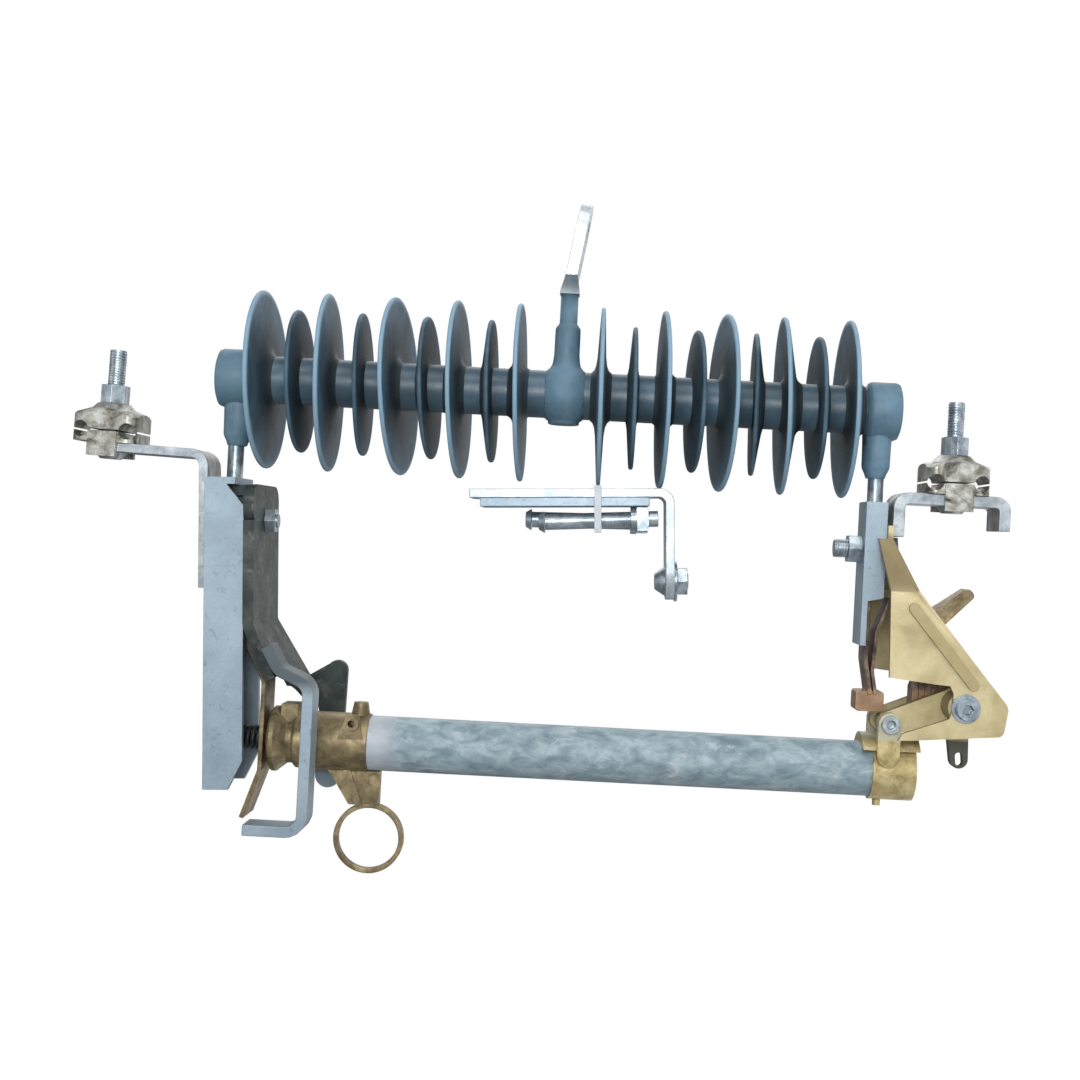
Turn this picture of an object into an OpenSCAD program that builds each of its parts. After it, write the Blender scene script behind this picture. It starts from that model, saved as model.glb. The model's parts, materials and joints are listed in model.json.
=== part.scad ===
// Drop-out expulsion fuse cutout with a silicone rubber insulator, and its loose bracket kit.
// +Z runs along the insulator towards the hood, +X points back to the crossarm, and the
// fuse tube hangs in front at -X. The origin is on the underside of the mounting tang.
// Everything but the tang is drawn in the insulator's own frame: its centre at 0, 0, 0.

/* [Mounting tang] */
// Distance from the seat point on the tang to the insulator's axis
tang_reach = 77; // [60:1:110]
// Length of the flat tang beyond the neck
tang_len = 43; // [40:1:70]
// Width of the tang
tang_w = 32; // [26:1:40]
// Thickness of the tang
tang_t = 6.5; // [5:0.5:9]
// Droop of the tang from square to the insulator, which leans the cutout forward in service
tang_tilt = 9; // [0:1:20]
// Diameter of the tang's bolt hole
tang_hole_d = 14; // [10:0.5:16]

/* [Insulator] */
// Diameter of the rubber shank
shank_d = 27; // [22:1:32]
// Diameter of the large sheds
large_shed_d = 101; // [80:1:110]
// Diameter of the small sheds
small_shed_d = 81; // [60:1:95]
// Thickness of a shed at its rim
shed_rim_t = 2.6; // [2:0.1:4]
// Thickness of a shed at the shank
shed_root_t = 7; // [5:0.5:9]
// Distance from one shed to the next
shed_pitch = 18; // [15:0.5:21]
// Number of sheds above and below the centre body
sheds_per_side = 9; // [5:2:11]
// Distance from the middle of the insulator to its first shed
first_shed = 23.5; // [22:0.5:30]
// Distance from the last shed to the end of the insulator
end_reach = 26; // [24:1:36]
// Diameter of the round boss at each end
boss_d = 33; // [30:1:40]
// Length of that boss
boss_len = 18.5; // [16:0.5:20]
// Diameter of the end legs
leg_d = 16; // [14:0.5:20]
// Length of the end legs from the insulator's axis
leg_len = 38.5; // [34:0.5:44]
// Diameter of the metal studs in the end legs
stud_pin_d = 9; // [7:0.5:10]
// Diameter of the centre body
belly_d = 35; // [32:1:44]
// Distance from the middle of the insulator down to the centre body
belly_drop = 3; // [0:0.5:4]
// Diameter of the neck that holds the tang
neck_d = 14.5; // [12:0.5:18]
// Distance from the insulator's axis to the end of the neck
neck_reach = 57; // [50:1:66]

/* [Fuse tube] */
// Distance from the insulator's axis to the fuse tube's axis
tube_reach = 203.5; // [190:1:230]
// Outer diameter of the fuse tube
tube_d = 31; // [26:1:34]
// Bore of the fuse tube
tube_bore = 18; // [12:1:20]
// Depth of the shoulder turned on the tube for its upper ferrule
tube_shoulder = 2; // [1:0.5:3]
// Wall of the upper ferrule proud of the tube
upper_ferrule_lip = 1; // [0.5:0.5:3]
// Length of the upper ferrule below the cap
upper_ferrule_len = 32; // [28:1:40]
// Length of the contact cap
cap_len = 26; // [22:1:30]
// Wall of the lower ferrule
lower_ferrule_t = 1.5; // [1:0.5:3]
// Length of the lower ferrule
lower_ferrule_len = 24.5; // [20:0.5:34]
// Inner diameter of the pull ring
ring_bore = 34.4; // [28:0.2:40]
// Radial width of the pull ring
ring_w = 2.7; // [2:0.1:5]
// Thickness of the pull ring
ring_t = 6; // [4:0.5:8]
// Distance from the tube's axis to the middle of the pull ring
ring_reach = 54; // [50:1:64]

/* [Hood and hooks] */
// Length of the hood
hood_len = 174; // [165:1:185]
// Width of the hood over its flanges
hood_w = 44; // [40:1:50]
// Depth of the hood's flanges
hood_depth = 22; // [18:1:28]
// Sheet thickness of the hood
hood_t = 4; // [3:0.5:5]
// Droop of the hood from square to the insulator
hood_tilt = 2.5; // [0:0.5:5]
// Thickness of the hook straps
hook_t = 6; // [4:0.5:7]
// Width of the front hook
hook_w = 18; // [14:1:22]
// Free space on each side of the upper ferrule between the hooks
hook_clear = 9; // [7:0.5:12]
// Length of the front hook's leg
hook_leg = 80; // [72:1:90]
// Length of the front hook's nose
hook_nose = 32; // [24:1:36]
// Thickness of the contact strips
contact_t = 2.5; // [2:0.1:3]

/* [Hinge] */
// Distance from the fuse tube's axis back to the hinge pivot
pivot_setback = 40; // [36:0.5:46]
// Distance from the lower stud down to the hinge pivot
pivot_drop = 49.5; // [44:0.5:56]
// Diameter of the pivot bolt
pivot_d = 10; // [8:0.5:12]
// Diameter of the hub that turns on the pivot bolt
hub_d = 18; // [15:0.5:20]
// Distance from the pivot up to the toggle pin
toggle_rise = 38; // [35:0.5:42]
// Diameter of the toggle pin
toggle_d = 7; // [5:0.5:9]
// Inner width between the two cheeks
cheek_gap = 62; // [56:1:70]
// Sheet thickness of the hinge bracket
cheek_t = 3; // [2:0.5:4]
// Width of the hinge post
post_w = 26; // [22:1:28]
// Depth of the hinge post
post_depth = 12; // [10:0.5:15]
// Sheet thickness of the hinge post
post_t = 3.2; // [2.5:0.1:4]
// Diameter of the bolt through the hinge post
hinge_bolt_d = 10; // [8:0.5:12]

/* [Terminals] */
// Width of the terminal bars
bar_w = 30; // [26:1:34]
// Thickness of the upper terminal bar
upper_bar_t = 5; // [4:0.5:6]
// Thickness of the lower terminal bar
lower_bar_t = 6.5; // [5:0.5:8]
// Diameter of the clamp studs
stud_d = 9; // [6:0.5:10]
// Free length of stud above a clamp's nut
stud_free = 20; // [12:1:26]
// Diameter of conductor that a clamp grips
groove_d = 9; // [6:0.5:10]
// Distance from a clamp's stud to its grooves
groove_reach = 13; // [12:0.5:15]
// Slot left between the two jaws of a clamp
jaw_slot = 1; // [0.5:0.5:5]

/* [Bracket kit] */
// Length of the kit's long leg
kit_long = 115; // [105:1:125]
// Length of the kit's short leg
kit_short = 63; // [58:1:80]
// Width of the kit's legs
kit_w = 32; // [28:1:40]
// Thickness of the kit's legs
kit_t = 5; // [4:0.5:7]
// Thickness of the kit's back strap
kit_strap_t = 5; // [4:0.5:7]
// Diameter of the kit's bolts
kit_bolt_d = 9; // [8:0.5:10]
// Length of the kit's two long bolts
kit_bolt_len = 64; // [58:1:74]

/* [Hidden] */

$fn = 64;
fit = 0.05;                 // radial clearance of a pin or a seated tube
touch = 0.3;                // running gap between contacts that meet at rest

// Insulator levels
insulator_half = first_shed + (sheds_per_side - 1) * shed_pitch + end_reach;
stud_inset = 11;            // from the insulator's end to its studs
stud_z = insulator_half - stud_inset;
stud_show = 13.5;           // from the end of a leg to where its stud enters the metal
seat_x = -leg_len - stud_show;

// Tang seat: the origin lies on the tang's underside, where the mounting strap meets it
tang_bend = neck_reach + 3;
tang_root = neck_reach + 9;
tang_seat = (tang_reach - tang_root) / cos(tang_tilt);
tang_rise = (tang_reach - tang_bend) * tan(tang_tilt) + tang_t / 2 * cos(tang_tilt) + belly_drop;

// Hood levels; the hood hangs from its outer corner over the upper stud
hood_top_x = seat_x - 5.5;
hood_z = stud_z + stud_pin_d / 2 + 7;
function hood_pt(x, z) = [hood_top_x + x * cos(hood_tilt) - z * sin(hood_tilt),
    hood_z + x * sin(hood_tilt) + z * cos(hood_tilt)];

// Fuse holder levels
upper_ferrule_d = tube_d + 2 * upper_ferrule_lip;
lower_ferrule_d = tube_d + 2 * lower_ferrule_t;
spigot_d = tube_d - 2 * tube_shoulder;
contact_drop = 38;                           // from the hood's top down to the upper contact
contact_z = hood_z - contact_drop;
cap_top = contact_z - touch;
tube_x = -tube_reach;
tube_head = cap_top - cap_len;               // upper end of the fuse tube
ferrule_foot = tube_head - upper_ferrule_len;
pivot_x = tube_x + pivot_setback;
pivot_z = -stud_z - pivot_drop;
tube_foot = pivot_z + 21;                    // lower end of the fuse tube
saddle_out = tube_x + tube_d / 2 + 5.4;      // back of the saddle on the lower ferrule
saddle_foot = tube_foot - 1.5;
toggle_x = saddle_out + 6.8;
toggle_z = pivot_z + toggle_rise;

// ---------- helpers ----------

module in_part_frame() translate([-tang_reach, 0, tang_rise]) children();
module in_hood_frame() in_part_frame() translate([hood_top_x, 0, hood_z])
    rotate([0, -hood_tilt, 0]) children();

// a shape drawn in X and Z, given a width along Y
module across(w, y = 0) translate([0, y, 0]) rotate([90, 0, 0])
    linear_extrude(w, center = true) children();

module rod_x(d, from, to, y = 0, z = 0) translate([min(from, to), y, z]) rotate([0, 90, 0])
    cylinder(d = d, h = abs(to - from));

module rod_y(d, from, to, x = 0, z = 0) translate([x, max(from, to), z]) rotate([90, 0, 0])
    cylinder(d = d, h = abs(to - from));

module rod_z(d, from, to, x = 0, y = 0) translate([x, y, min(from, to)])
    cylinder(d = d, h = abs(to - from));

// a hexagon or square prism of a width across its flats
module prism_z(flats, sides, h) rotate([0, 0, 180 / sides])
    cylinder(d = flats / cos(180 / sides), h = h, $fn = sides);

// a prism with a round hole that fits a pin
module nut_z(flats, sides, h, pin_d) difference() {
    prism_z(flats, sides, h);
    translate([0, 0, -1]) cylinder(d = pin_d + 2 * fit, h = h + 2);
}

function unit(v) = v / norm(v);
function left_of(v) = [-v[1], v[0]];
function reversed(list) = [for (i = [len(list) - 1 : -1 : 0]) list[i]];
function ray(angle) = [cos(angle), sin(angle)];

// the arc that rounds a path's corner at b
function corner(a, b, c, r, steps = 5) = let(
    to_a = unit(a - b), to_c = unit(c - b), half = acos(to_a * to_c) / 2,
    middle = b + unit(to_a + to_c) * r / sin(half),
    from = b + to_a * r / tan(half) - middle, to = b + to_c * r / tan(half) - middle)
    [for (i = [0 : steps]) middle + r * unit(from * (1 - i / steps) + to * i / steps)];

function rounded(path, r) = [path[0],
    for (i = [1 : 1 : len(path) - 2]) each corner(path[i - 1], path[i], path[i + 1], r),
    path[len(path) - 1]];

// the path moved sideways by d, square at its ends
function beside(path, d) = [for (i = [0 : len(path) - 1]) let(
    before = unit(i == 0 ? path[1] - path[0] : path[i] - path[i - 1]),
    after = unit(i == len(path) - 1 ? path[i] - path[i - 1] : path[i + 1] - path[i]),
    m = left_of(unit(before + after)))
    path[i] + m * d / (m * left_of(before))];

// a bent strip: its middle line in X and Z, its thickness, width and bend radius
module strip(path, t, w, r, y = 0) let(p = rounded(path, r))
    across(w, y) polygon(concat(beside(p, t / 2), reversed(beside(p, -t / 2))));

// a flat link with round ends at p and q
module link(p, rp, q, rq) let(n = left_of(unit(q - p))) {
    translate(p) circle(rp);
    translate(q) circle(rq);
    polygon([p + n * rp, q + n * rq, q - n * rq, p - n * rp]);
}

module rounded_square(w, h, r) {
    square([w - 2 * r, h], center = true);
    square([w, h - 2 * r], center = true);
    for (i = [-1, 1], j = [-1, 1]) translate([i * (w / 2 - r), j * (h / 2 - r)]) circle(r);
}

// ---------- insulator ----------

// half section of one shed, from the shank up to its rim and back
function shed_edge(z, d) = let(root = shank_d / 2, rim = d / 2) [
    [root, z - shed_root_t / 2 - 2.5], [root + 2, z - shed_root_t / 2],
    [rim - shed_rim_t, z - shed_rim_t / 2], [rim - 0.5, z - shed_rim_t / 3], [rim, z],
    [rim - 0.5, z + shed_rim_t / 3], [rim - shed_rim_t, z + shed_rim_t / 2],
    [root + 2, z + shed_root_t / 2], [root, z + shed_root_t / 2 + 2.5]];

module shed_stack() rotate_extrude() polygon([[0, 0], [shank_d / 2, 0],
    for (i = [0 : sheds_per_side - 1])
        each shed_edge(first_shed + i * shed_pitch, i % 2 == 0 ? large_shed_d : small_shed_d),
    [shank_d / 2, insulator_half - boss_len - 1.5], [boss_d / 2 - 1.5, insulator_half - boss_len],
    [boss_d / 2, insulator_half - boss_len + 1.5], [boss_d / 2, insulator_half - 2],
    [boss_d / 2 - 2, insulator_half], [0, insulator_half]]);

// the leg that carries an end stud forward out of the boss, tapered at its tip
leg_taper = 6;
module end_leg() translate([0, 0, stud_z]) rotate([0, -90, 0]) rotate_extrude()
    polygon([[0, 0], [leg_d / 2 + 1, 0], [leg_d / 2, leg_len - leg_taper],
        [stud_pin_d / 2 + 0.8, leg_len], [0, leg_len]]);

// centre body and neck, turned about the neck's axis
neck_rubber = 38;           // from the axis to the end of the rubber on the neck
module belly() let(r = belly_d / 2) translate([0, 0, -belly_drop]) rotate([0, 90, 0])
    rotate_extrude() polygon([[0, -r + 0.5], [r * 0.45, -r + 0.5],
        for (a = [-60 : 12 : 60]) [r * cos(a), r * sin(a)],
        [neck_d / 2 + 0.6, r + 1], [neck_d / 2, r + 5], [neck_d / 2, neck_rubber],
        [neck_d / 2 - 2, neck_rubber + 2.5], [neck_d / 2 - 2.2, neck_reach], [0, neck_reach]]);

module insulator_housing() color("slategray") in_part_frame() difference() {
    union() {
        for (m = [0, 1]) mirror([0, 0, m]) {
            shed_stack();
            end_leg();
        }
        belly();
    }
    for (m = [0, 1]) mirror([0, 0, m])
        rod_x(stud_pin_d, -leg_len - 1, -leg_len / 2, z = stud_z);
}

// a point of the tang's own frame, in the insulator's X and Z
function tang_pt(x, z) = [tang_reach + x * cos(tang_tilt) + z * sin(tang_tilt),
    -tang_rise - x * sin(tang_tilt) + z * cos(tang_tilt)];

// forged piece between the round neck and the flat tang
module tang_shoulder() let(r = neck_d / 2 - 1.5, root = 0.5 - tang_seat, end = tang_pt(root, tang_t)[0])
    intersection() {
        across(tang_w) polygon([[neck_reach, r - belly_drop], [tang_bend, r - 0.6 - belly_drop],
            tang_pt(root, tang_t), tang_pt(root, 0),
            [tang_bend, 0.4 - r - belly_drop], [neck_reach, -r - belly_drop]]);
        translate([0, 0, -tang_w]) linear_extrude(2 * tang_w) polygon([[neck_reach, -r],
            [tang_bend, -r - 0.9], [tang_bend + 3.5, -tang_w / 3.2], [tang_root, -tang_w / 2],
            [end, -tang_w / 2], [end, tang_w / 2], [tang_root, tang_w / 2],
            [tang_bend + 3.5, tang_w / 3.2], [tang_bend, r + 0.9], [neck_reach, r]]);
    }

module mounting_tang() color("silver") {
    rotate([0, tang_tilt, 0]) difference() {
        translate([-tang_seat, 0, 0]) linear_extrude(tang_t) {
            translate([0, -tang_w / 2]) square([tang_len - tang_w / 2, tang_w]);
            translate([tang_len - tang_w / 2, 0]) circle(tang_w / 2);
        }
        translate([tang_len - tang_seat - tang_w / 2, 0, -1]) cylinder(d = tang_hole_d, h = tang_t + 2);
    }
    in_part_frame() tang_shoulder();
}

module lower_stud() color("gray") in_part_frame()
    rod_x(stud_pin_d, -leg_len / 2, seat_x - 12, z = -stud_z);

// the upper stud passes the hood's end wall and the hook strap, and carries a nut
stud_nut_h = 5.5;
module upper_stud() color("gray") {
    in_part_frame() rod_x(stud_pin_d, -leg_len / 2, hood_top_x - hood_t - hook_t - stud_nut_h - 0.3,
        z = stud_z);
    in_hood_frame() translate([-hood_t - hook_t - stud_nut_h, 0, stud_z - hood_z])
        rotate([0, 90, 0]) prism_z(14, 6, stud_nut_h);
}

// ---------- hood, contact and hooks ----------

hood_bolt_x = -24;          // the hood bolt from the hood's top end
hood_bolt_d = 8;
bolt_head_d = 16;
hood_nut_h = 5.5;
strap_gap = 2;              // between the hood's flanges and the hook strap
strap_tongue_w = hood_w - 2 * hood_t - 10;
strap_half = hood_w / 2 + 10;
strap_z = -hood_depth - hook_t / 2 - strap_gap;     // middle of the hook strap in the hood's frame
strap_to_tube = 83;         // from the bend of the hook strap down to the tube's axis
strap_len = tube_reach - leg_len - strap_to_tube;
strap_head = 24;            // length of the strap's rounded upper end

module hood() color("lightsteelblue") difference() {
    in_hood_frame() {
        for (side = [-1, 1]) across(hood_t, side * (hood_w - hood_t) / 2)
            polygon([[-hood_len, 8 - hood_depth], [16 - hood_len, -hood_depth],
                [-16, -hood_depth], [0, 13 - hood_depth], [0, -2], [-2, 0], [-hood_len, 0]]);
        across(hood_w) translate([-hood_len, -hood_t]) square([hood_len, hood_t]);
        across(hood_w) translate([-hood_t, 5 - hood_depth]) square([hood_t, hood_depth - 6]);
    }
    in_part_frame() rod_x(stud_pin_d + 2 * fit, seat_x, hood_top_x - 2 * hood_t, z = stud_z);
    in_hood_frame() rod_z(hood_bolt_d + 2 * fit, -hood_t - 1, 1, x = hood_bolt_x);
}

bar_rise = 1.5;             // slope of the upper bar's flat part
bar_lift = 13;              // from the hood's end up to the middle of that flat part
upper_clamp_out = 56.5;     // from the bar's bend out to the clamp's stud
bar_end = 7;                // from the clamp's stud to the bar's end
bar_leg = 62;               // length of the bar's leg behind the hood
bar_bend = hood_pt(bar_lift, upper_bar_t / 2);
bar_ray = ray(90 - bar_rise);
module upper_terminal_bar() color("silver") difference() {
    in_part_frame() difference() {
        strip([bar_bend + bar_ray * (upper_clamp_out + bar_end), bar_bend,
            hood_pt(-bar_leg, upper_bar_t / 2)], upper_bar_t, bar_w, 7);
        translate([bar_bend[0], 0, bar_bend[1]]) rotate([0, bar_rise, 0])
            rod_x(stud_d + 2 * fit, -upper_bar_t, upper_bar_t, z = upper_clamp_out);
    }
    in_hood_frame() {
        rod_z(hood_bolt_d + 2 * fit, -1, upper_bar_t + 1, x = hood_bolt_x);
        rod_z(bolt_head_d, 1.5, upper_bar_t + 1, x = hood_bolt_x);
    }
}

// two jaws with a groove for the conductor on each side of the stud; their seat is at x = 0
jaw_w = 36;
jaw_len = 34;
saddle_t = 6;
keeper_h = 15.5;
keeper_x = saddle_t + jaw_slot;
nut_x = keeper_x + keeper_h;
groove_x = saddle_t + jaw_slot / 2;
module grooves() for (side = [-1, 1])
    rod_y(groove_d, -jaw_len, jaw_len, x = groove_x, z = side * groove_reach);

module clamp_saddle(bar_t) difference() {
    union() {
        rotate([0, 90, 0]) linear_extrude(saddle_t) rounded_square(jaw_w, jaw_len, 6);
        // ears that keep the saddle from turning on the bar
        for (side = [-1, 1]) translate([-bar_t - 3, side * (bar_w / 2 + 2.1) - 1.7, -8])
            cube([bar_t + 3 + saddle_t, 3.4, 16]);
    }
    rod_x(stud_d + 1, -1, saddle_t + 1);
    grooves();
}

module clamp_keeper() difference() {
    translate([keeper_x, 0, 0]) rotate([0, 90, 0]) intersection() {
        linear_extrude(keeper_h) rounded_square(jaw_w, jaw_len, 6);
        rotate_extrude() polygon([[0, 0], [26, 0], [25, 5], [20, 9.5], [12, 12.5], [9, keeper_h],
            [0, keeper_h]]);
    }
    rod_x(stud_d + 1, keeper_x - 1, nut_x + 1);
    grooves();
}

clamp_nut_h = 10.5;
module clamp_bolt(bar_t) {
    rod_x(stud_d, -bar_t, nut_x + clamp_nut_h + stud_free);
    rotate([0, -90, 0]) translate([0, 0, bar_t]) cylinder(d1 = 18, d2 = 12, h = 4);
}

module clamp_nut() translate([nut_x, 0, 0]) rotate([0, 90, 0]) nut_z(14, 6, clamp_nut_h, stud_d);

module at_upper_clamp() in_part_frame() translate([bar_bend[0], 0, bar_bend[1]])
    rotate([0, bar_rise, 0]) translate([upper_bar_t / 2, 0, upper_clamp_out]) children();
module upper_clamp_saddle() color("tan") at_upper_clamp() translate([0.01, 0, 0])
    clamp_saddle(upper_bar_t);
module upper_clamp_keeper() color("tan") at_upper_clamp() clamp_keeper();
module upper_clamp_bolt() color("gray") at_upper_clamp() clamp_bolt(upper_bar_t);
module upper_clamp_nut() color("silver") at_upper_clamp() clamp_nut();

// flush head in the bar, shank through hood, spacer and strap, nut on the strap
module hood_bolt() color("gray") in_hood_frame() translate([hood_bolt_x, 0, 0]) {
    rod_z(bolt_head_d - 0.2, 1.5, upper_bar_t - 0.2);
    rod_z(hood_bolt_d, strap_z - hook_t / 2 - hood_nut_h - 1.5, 2);
    translate([0, 0, strap_z - hook_t / 2 - hood_nut_h]) prism_z(13, 6, hood_nut_h);
}

// the strap slopes off under the hood and widens into the plate that carries both hooks
hook_slope = 30;
hook_ray = ray(180 + hook_slope);
hook_down = left_of(hook_ray);              // away from the hood, square to the plate
strap_bend = hood_pt(-strap_len, strap_z);
plate_len = 48;
hook_lap_len = 30;                          // lap of the front hook under the plate
throat = tube_d / 2 + 14.5;                 // radius that the plate keeps free round the tube
hook_y = upper_ferrule_d / 2 + hook_clear + hook_w / 2;
plate_half = hook_y + hook_w / 2;

module hook_plate() translate([strap_bend[0], 0, strap_bend[1]]) rotate([0, 180 - hook_slope, 0])
    linear_extrude(hook_t, center = true) for (side = [-1, 1])
        let(end = side > 0 ? plate_len : hook_lap_len + 2, flare = end - 9)
            polygon([[0, -side], [0, side * strap_half], [flare, side * (plate_half - 2)],
                [flare + 4, side * plate_half], [end, side * plate_half], [end, -side]]);

module hook_strap() color("dimgray") difference() {
    union() {
        in_part_frame() {
            strip([hood_pt(-hood_t - hook_t / 2, -hood_t - 1.5),
                hood_pt(-hood_t - hook_t / 2, strap_z), hood_pt(-strap_head, strap_z)],
                hook_t, strap_tongue_w, 6);
            strip([hood_pt(-strap_head, strap_z), strap_bend, strap_bend + hook_ray * 16],
                hook_t, 2 * strap_half, 9);
            hook_plate();
        }
        in_hood_frame() {
            rod_z(bolt_head_d - 2, strap_z, -hood_t, x = hood_bolt_x);
            translate([-hood_t - strap_head / 2, 0, strap_z - hook_t / 2])
                linear_extrude(hook_t) rounded_square(strap_head, 2 * strap_half, 9);
        }
    }
    in_part_frame() rod_z(2 * throat, 0, hood_z, x = tube_x);
    in_part_frame() rod_x(stud_pin_d + 2 * fit, seat_x, hood_top_x - 3 * hood_t, z = stud_z);
    in_hood_frame() rod_z(hood_bolt_d + 2 * fit, strap_z - hook_t, 0, x = hood_bolt_x);
}

// hook lapped under the plate, bent down beside the tube, its nose turned up towards the hood
hook_drop = 29.5;
hook_z = contact_z - hook_drop;             // middle of the hooks' legs
hook_lap = strap_bend + hook_down * (hook_t + 0.01);
hook_off = hook_lap + hook_ray * hook_lap_len;
hook_turn = 67;
hook_bend = hook_off + ray(180 + hook_turn) * (hook_off[1] - hook_z) / sin(hook_turn);
module front_hook() color("lightsteelblue") in_part_frame()
    strip([hook_lap + hook_ray * 15, hook_off, hook_bend, [hook_bend[0] - hook_leg, hook_z],
        [hook_bend[0] - hook_leg, hook_z + hook_nose]], hook_t, hook_w, 9, -hook_y);

// flat horn on the other side, seated under the plate: a round shoulder over a narrow nose
leaf_seat = strap_bend + hook_down * (hook_t / 2 + 0.01);
horn_shoulder = [hook_bend[0] + 2, hook_z - 2.7];
horn_shoulder_r = 6;
horn_nose_x = hook_bend[0] - 60;
horn_nose_r = 7.5;
module rear_hook() color("slategray") in_part_frame() across(hook_t, hook_y)
    polygon([leaf_seat + hook_ray * (plate_len - 9), leaf_seat + hook_ray * (plate_len + 0.3),
        [hook_bend[0] - 22, hook_z + 7],
        for (a = [85 : 19 : 275]) [horn_nose_x, hook_z] + horn_nose_r * ray(a),
        for (a = [-95 : 16 : 49]) horn_shoulder + horn_shoulder_r * ray(a)]);

// bronze strip that meets the cap, bent up at its fixed end and at the lip that leads the cap in
contact_w = 26;
contact_rise = 12;
contact_seat = contact_z + contact_t / 2;
contact_back = tube_x + tube_d / 2 + 17.5;
contact_front = tube_x - tube_d / 2 - 1.5;
module upper_contact() color("peru") in_part_frame()
    strip([[contact_back + 22, contact_seat + contact_rise - 1], [contact_back, contact_seat],
        [contact_front, contact_seat], [contact_front - 27, contact_seat + contact_rise - 3]],
        contact_t, contact_w, 6);

// close coils between the contact and the hood
spring_d = 14;
spring_wire = 2.6;
spring_turns = 8;
spring_foot = contact_z + contact_t;
spring_head = hood_pt(tube_x - hood_top_x - spring_d / 2, -hood_t)[1] - touch;
coil = (spring_head - spring_foot) / spring_turns;
module contact_spring() color("gray") in_part_frame() translate([tube_x, 0, spring_foot])
    rotate_extrude() polygon([[spring_d / 2 - spring_wire, spring_head - spring_foot],
        [spring_d / 2 - spring_wire, 0],
        for (i = [0 : spring_turns - 1], a = [-80 : 32 : 80])
            [spring_d / 2 - spring_wire / 2 * (1 - cos(a)), (i + 0.5 + sin(a) / 2) * coil]]);

// ---------- hinge ----------

post_z = -stud_z + 0.5;                 // middle of the hinge post
post_face = post_z - post_depth / 2;    // its open side, where the bracket seats
web_z = post_z + post_depth / 2 - post_t;
post_side = 54;                         // length of the post's side walls
post_tail = 27;                         // what the web runs on below them
post_foot = seat_x - post_side;
web_foot = post_foot - post_tail;
hinge_bolt_x = seat_x - post_side / 2;

// channel with its open side away from the insulator, solid round the stud
module hinge_post() color("lightsteelblue") in_part_frame() difference() {
    union() {
        for (side = [-1, 1]) across(post_t, side * (post_w - post_t) / 2)
            polygon([[seat_x, post_face], [seat_x, web_z + post_t], [post_foot - 2, web_z + post_t],
                [post_foot - 2, web_z], [post_foot, post_face]]);
        translate([web_foot, -post_w / 2, web_z]) cube([seat_x - web_foot, post_w, post_t]);
        translate([seat_x - 15, -post_w / 2, post_face]) cube([15, post_w, post_depth]);
    }
    rod_x(stud_pin_d + 2 * fit, seat_x - 13, seat_x + 1, z = -stud_z);
    rod_z(hinge_bolt_d + 2 * fit, web_z - 1, web_z + post_t + 1, x = hinge_bolt_x);
}

// outline of a cheek: sloping back edge, toe with two round corners, and a slot open to the tube
toe = [pivot_x, pivot_z];
heel = [post_foot + 5, post_face - 16];
toe_back = toe + [2, -23.5];                // where the slope would meet the toe's end
toe_front = toe + [-16, -18];
slope = unit(toe_back - heel);
slope_end = heel + slope * 41;              // lower edge of the plate between the cheeks
module cheek_outline() polygon([[heel[0], post_face], heel,
    each corner(heel, toe_back, toe + [-8, -23.5], 6),
    each corner(toe + [0, -23.5], toe + [-14, -21.5], toe_front + [-1, 8], 4),
    toe + [-19.5, 36], toe + [-15.5, 34], toe + [-8.5, 15], toe + [-6, 8.5], toe + [0, 7],
    toe + [8, 7], toe + [12, 9], toe + [12.5, 17], toe + [15, 42.5]]);

// the stiffening rib pressed out of each cheek along its slope
rib_w = 6;
rib_h = 2;
rib_end = 23.5;             // from the rib's end to the toe
rib_len = round(norm(toe_back - heel) - rib_end);
rib_inset = 8;              // from the bracket's back to the rib
module rib() translate(heel + slope * 2 - left_of(slope) * rib_inset)
    rotate(atan2(slope[1], slope[0])) link([rib_w / 2, 0], rib_w / 2, [rib_len, 0], rib_w / 2);

bracket_half = cheek_gap / 2 + cheek_t;
neck_z = post_face - cheek_t / 2;
neck_w = bar_w + 4.4;
neck_head = seat_x - 13;    // upper edge of the bracket's neck
module hinge_bracket() color("khaki") in_part_frame() difference() {
    union() {
        for (side = [-1, 1]) {
            across(cheek_t, side * (bracket_half - cheek_t / 2)) cheek_outline();
            across(rib_h, side * (bracket_half + rib_h / 2)) rib();
            // shoulder that spreads from the neck out to the cheek
            hull() {
                translate([hinge_bolt_x + 6, side * (neck_w / 2 - 1.5), neck_z + 2.5])
                    cube([1, 3, 8], center = true);
                translate([heel[0] - 0.5, side * (bracket_half - 1.5), (post_face + heel[1]) / 2])
                    cube([1, 3, post_face - heel[1]], center = true);
            }
        }
        strip([[neck_head, neck_z], [heel[0] + 11, neck_z], heel + [0, 1.9]], cheek_t, neck_w, 6);
        strip([heel + [0, 1.9], slope_end + [0, 1.9]], cheek_t, 2 * bracket_half, 1);
    }
    rod_y(pivot_d + 2 * fit, -bracket_half - 3, bracket_half + 3, x = pivot_x, z = pivot_z);
    rod_z(hinge_bolt_d + 2 * fit, neck_z - 6, neck_z + 6, x = hinge_bolt_x);
}

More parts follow.
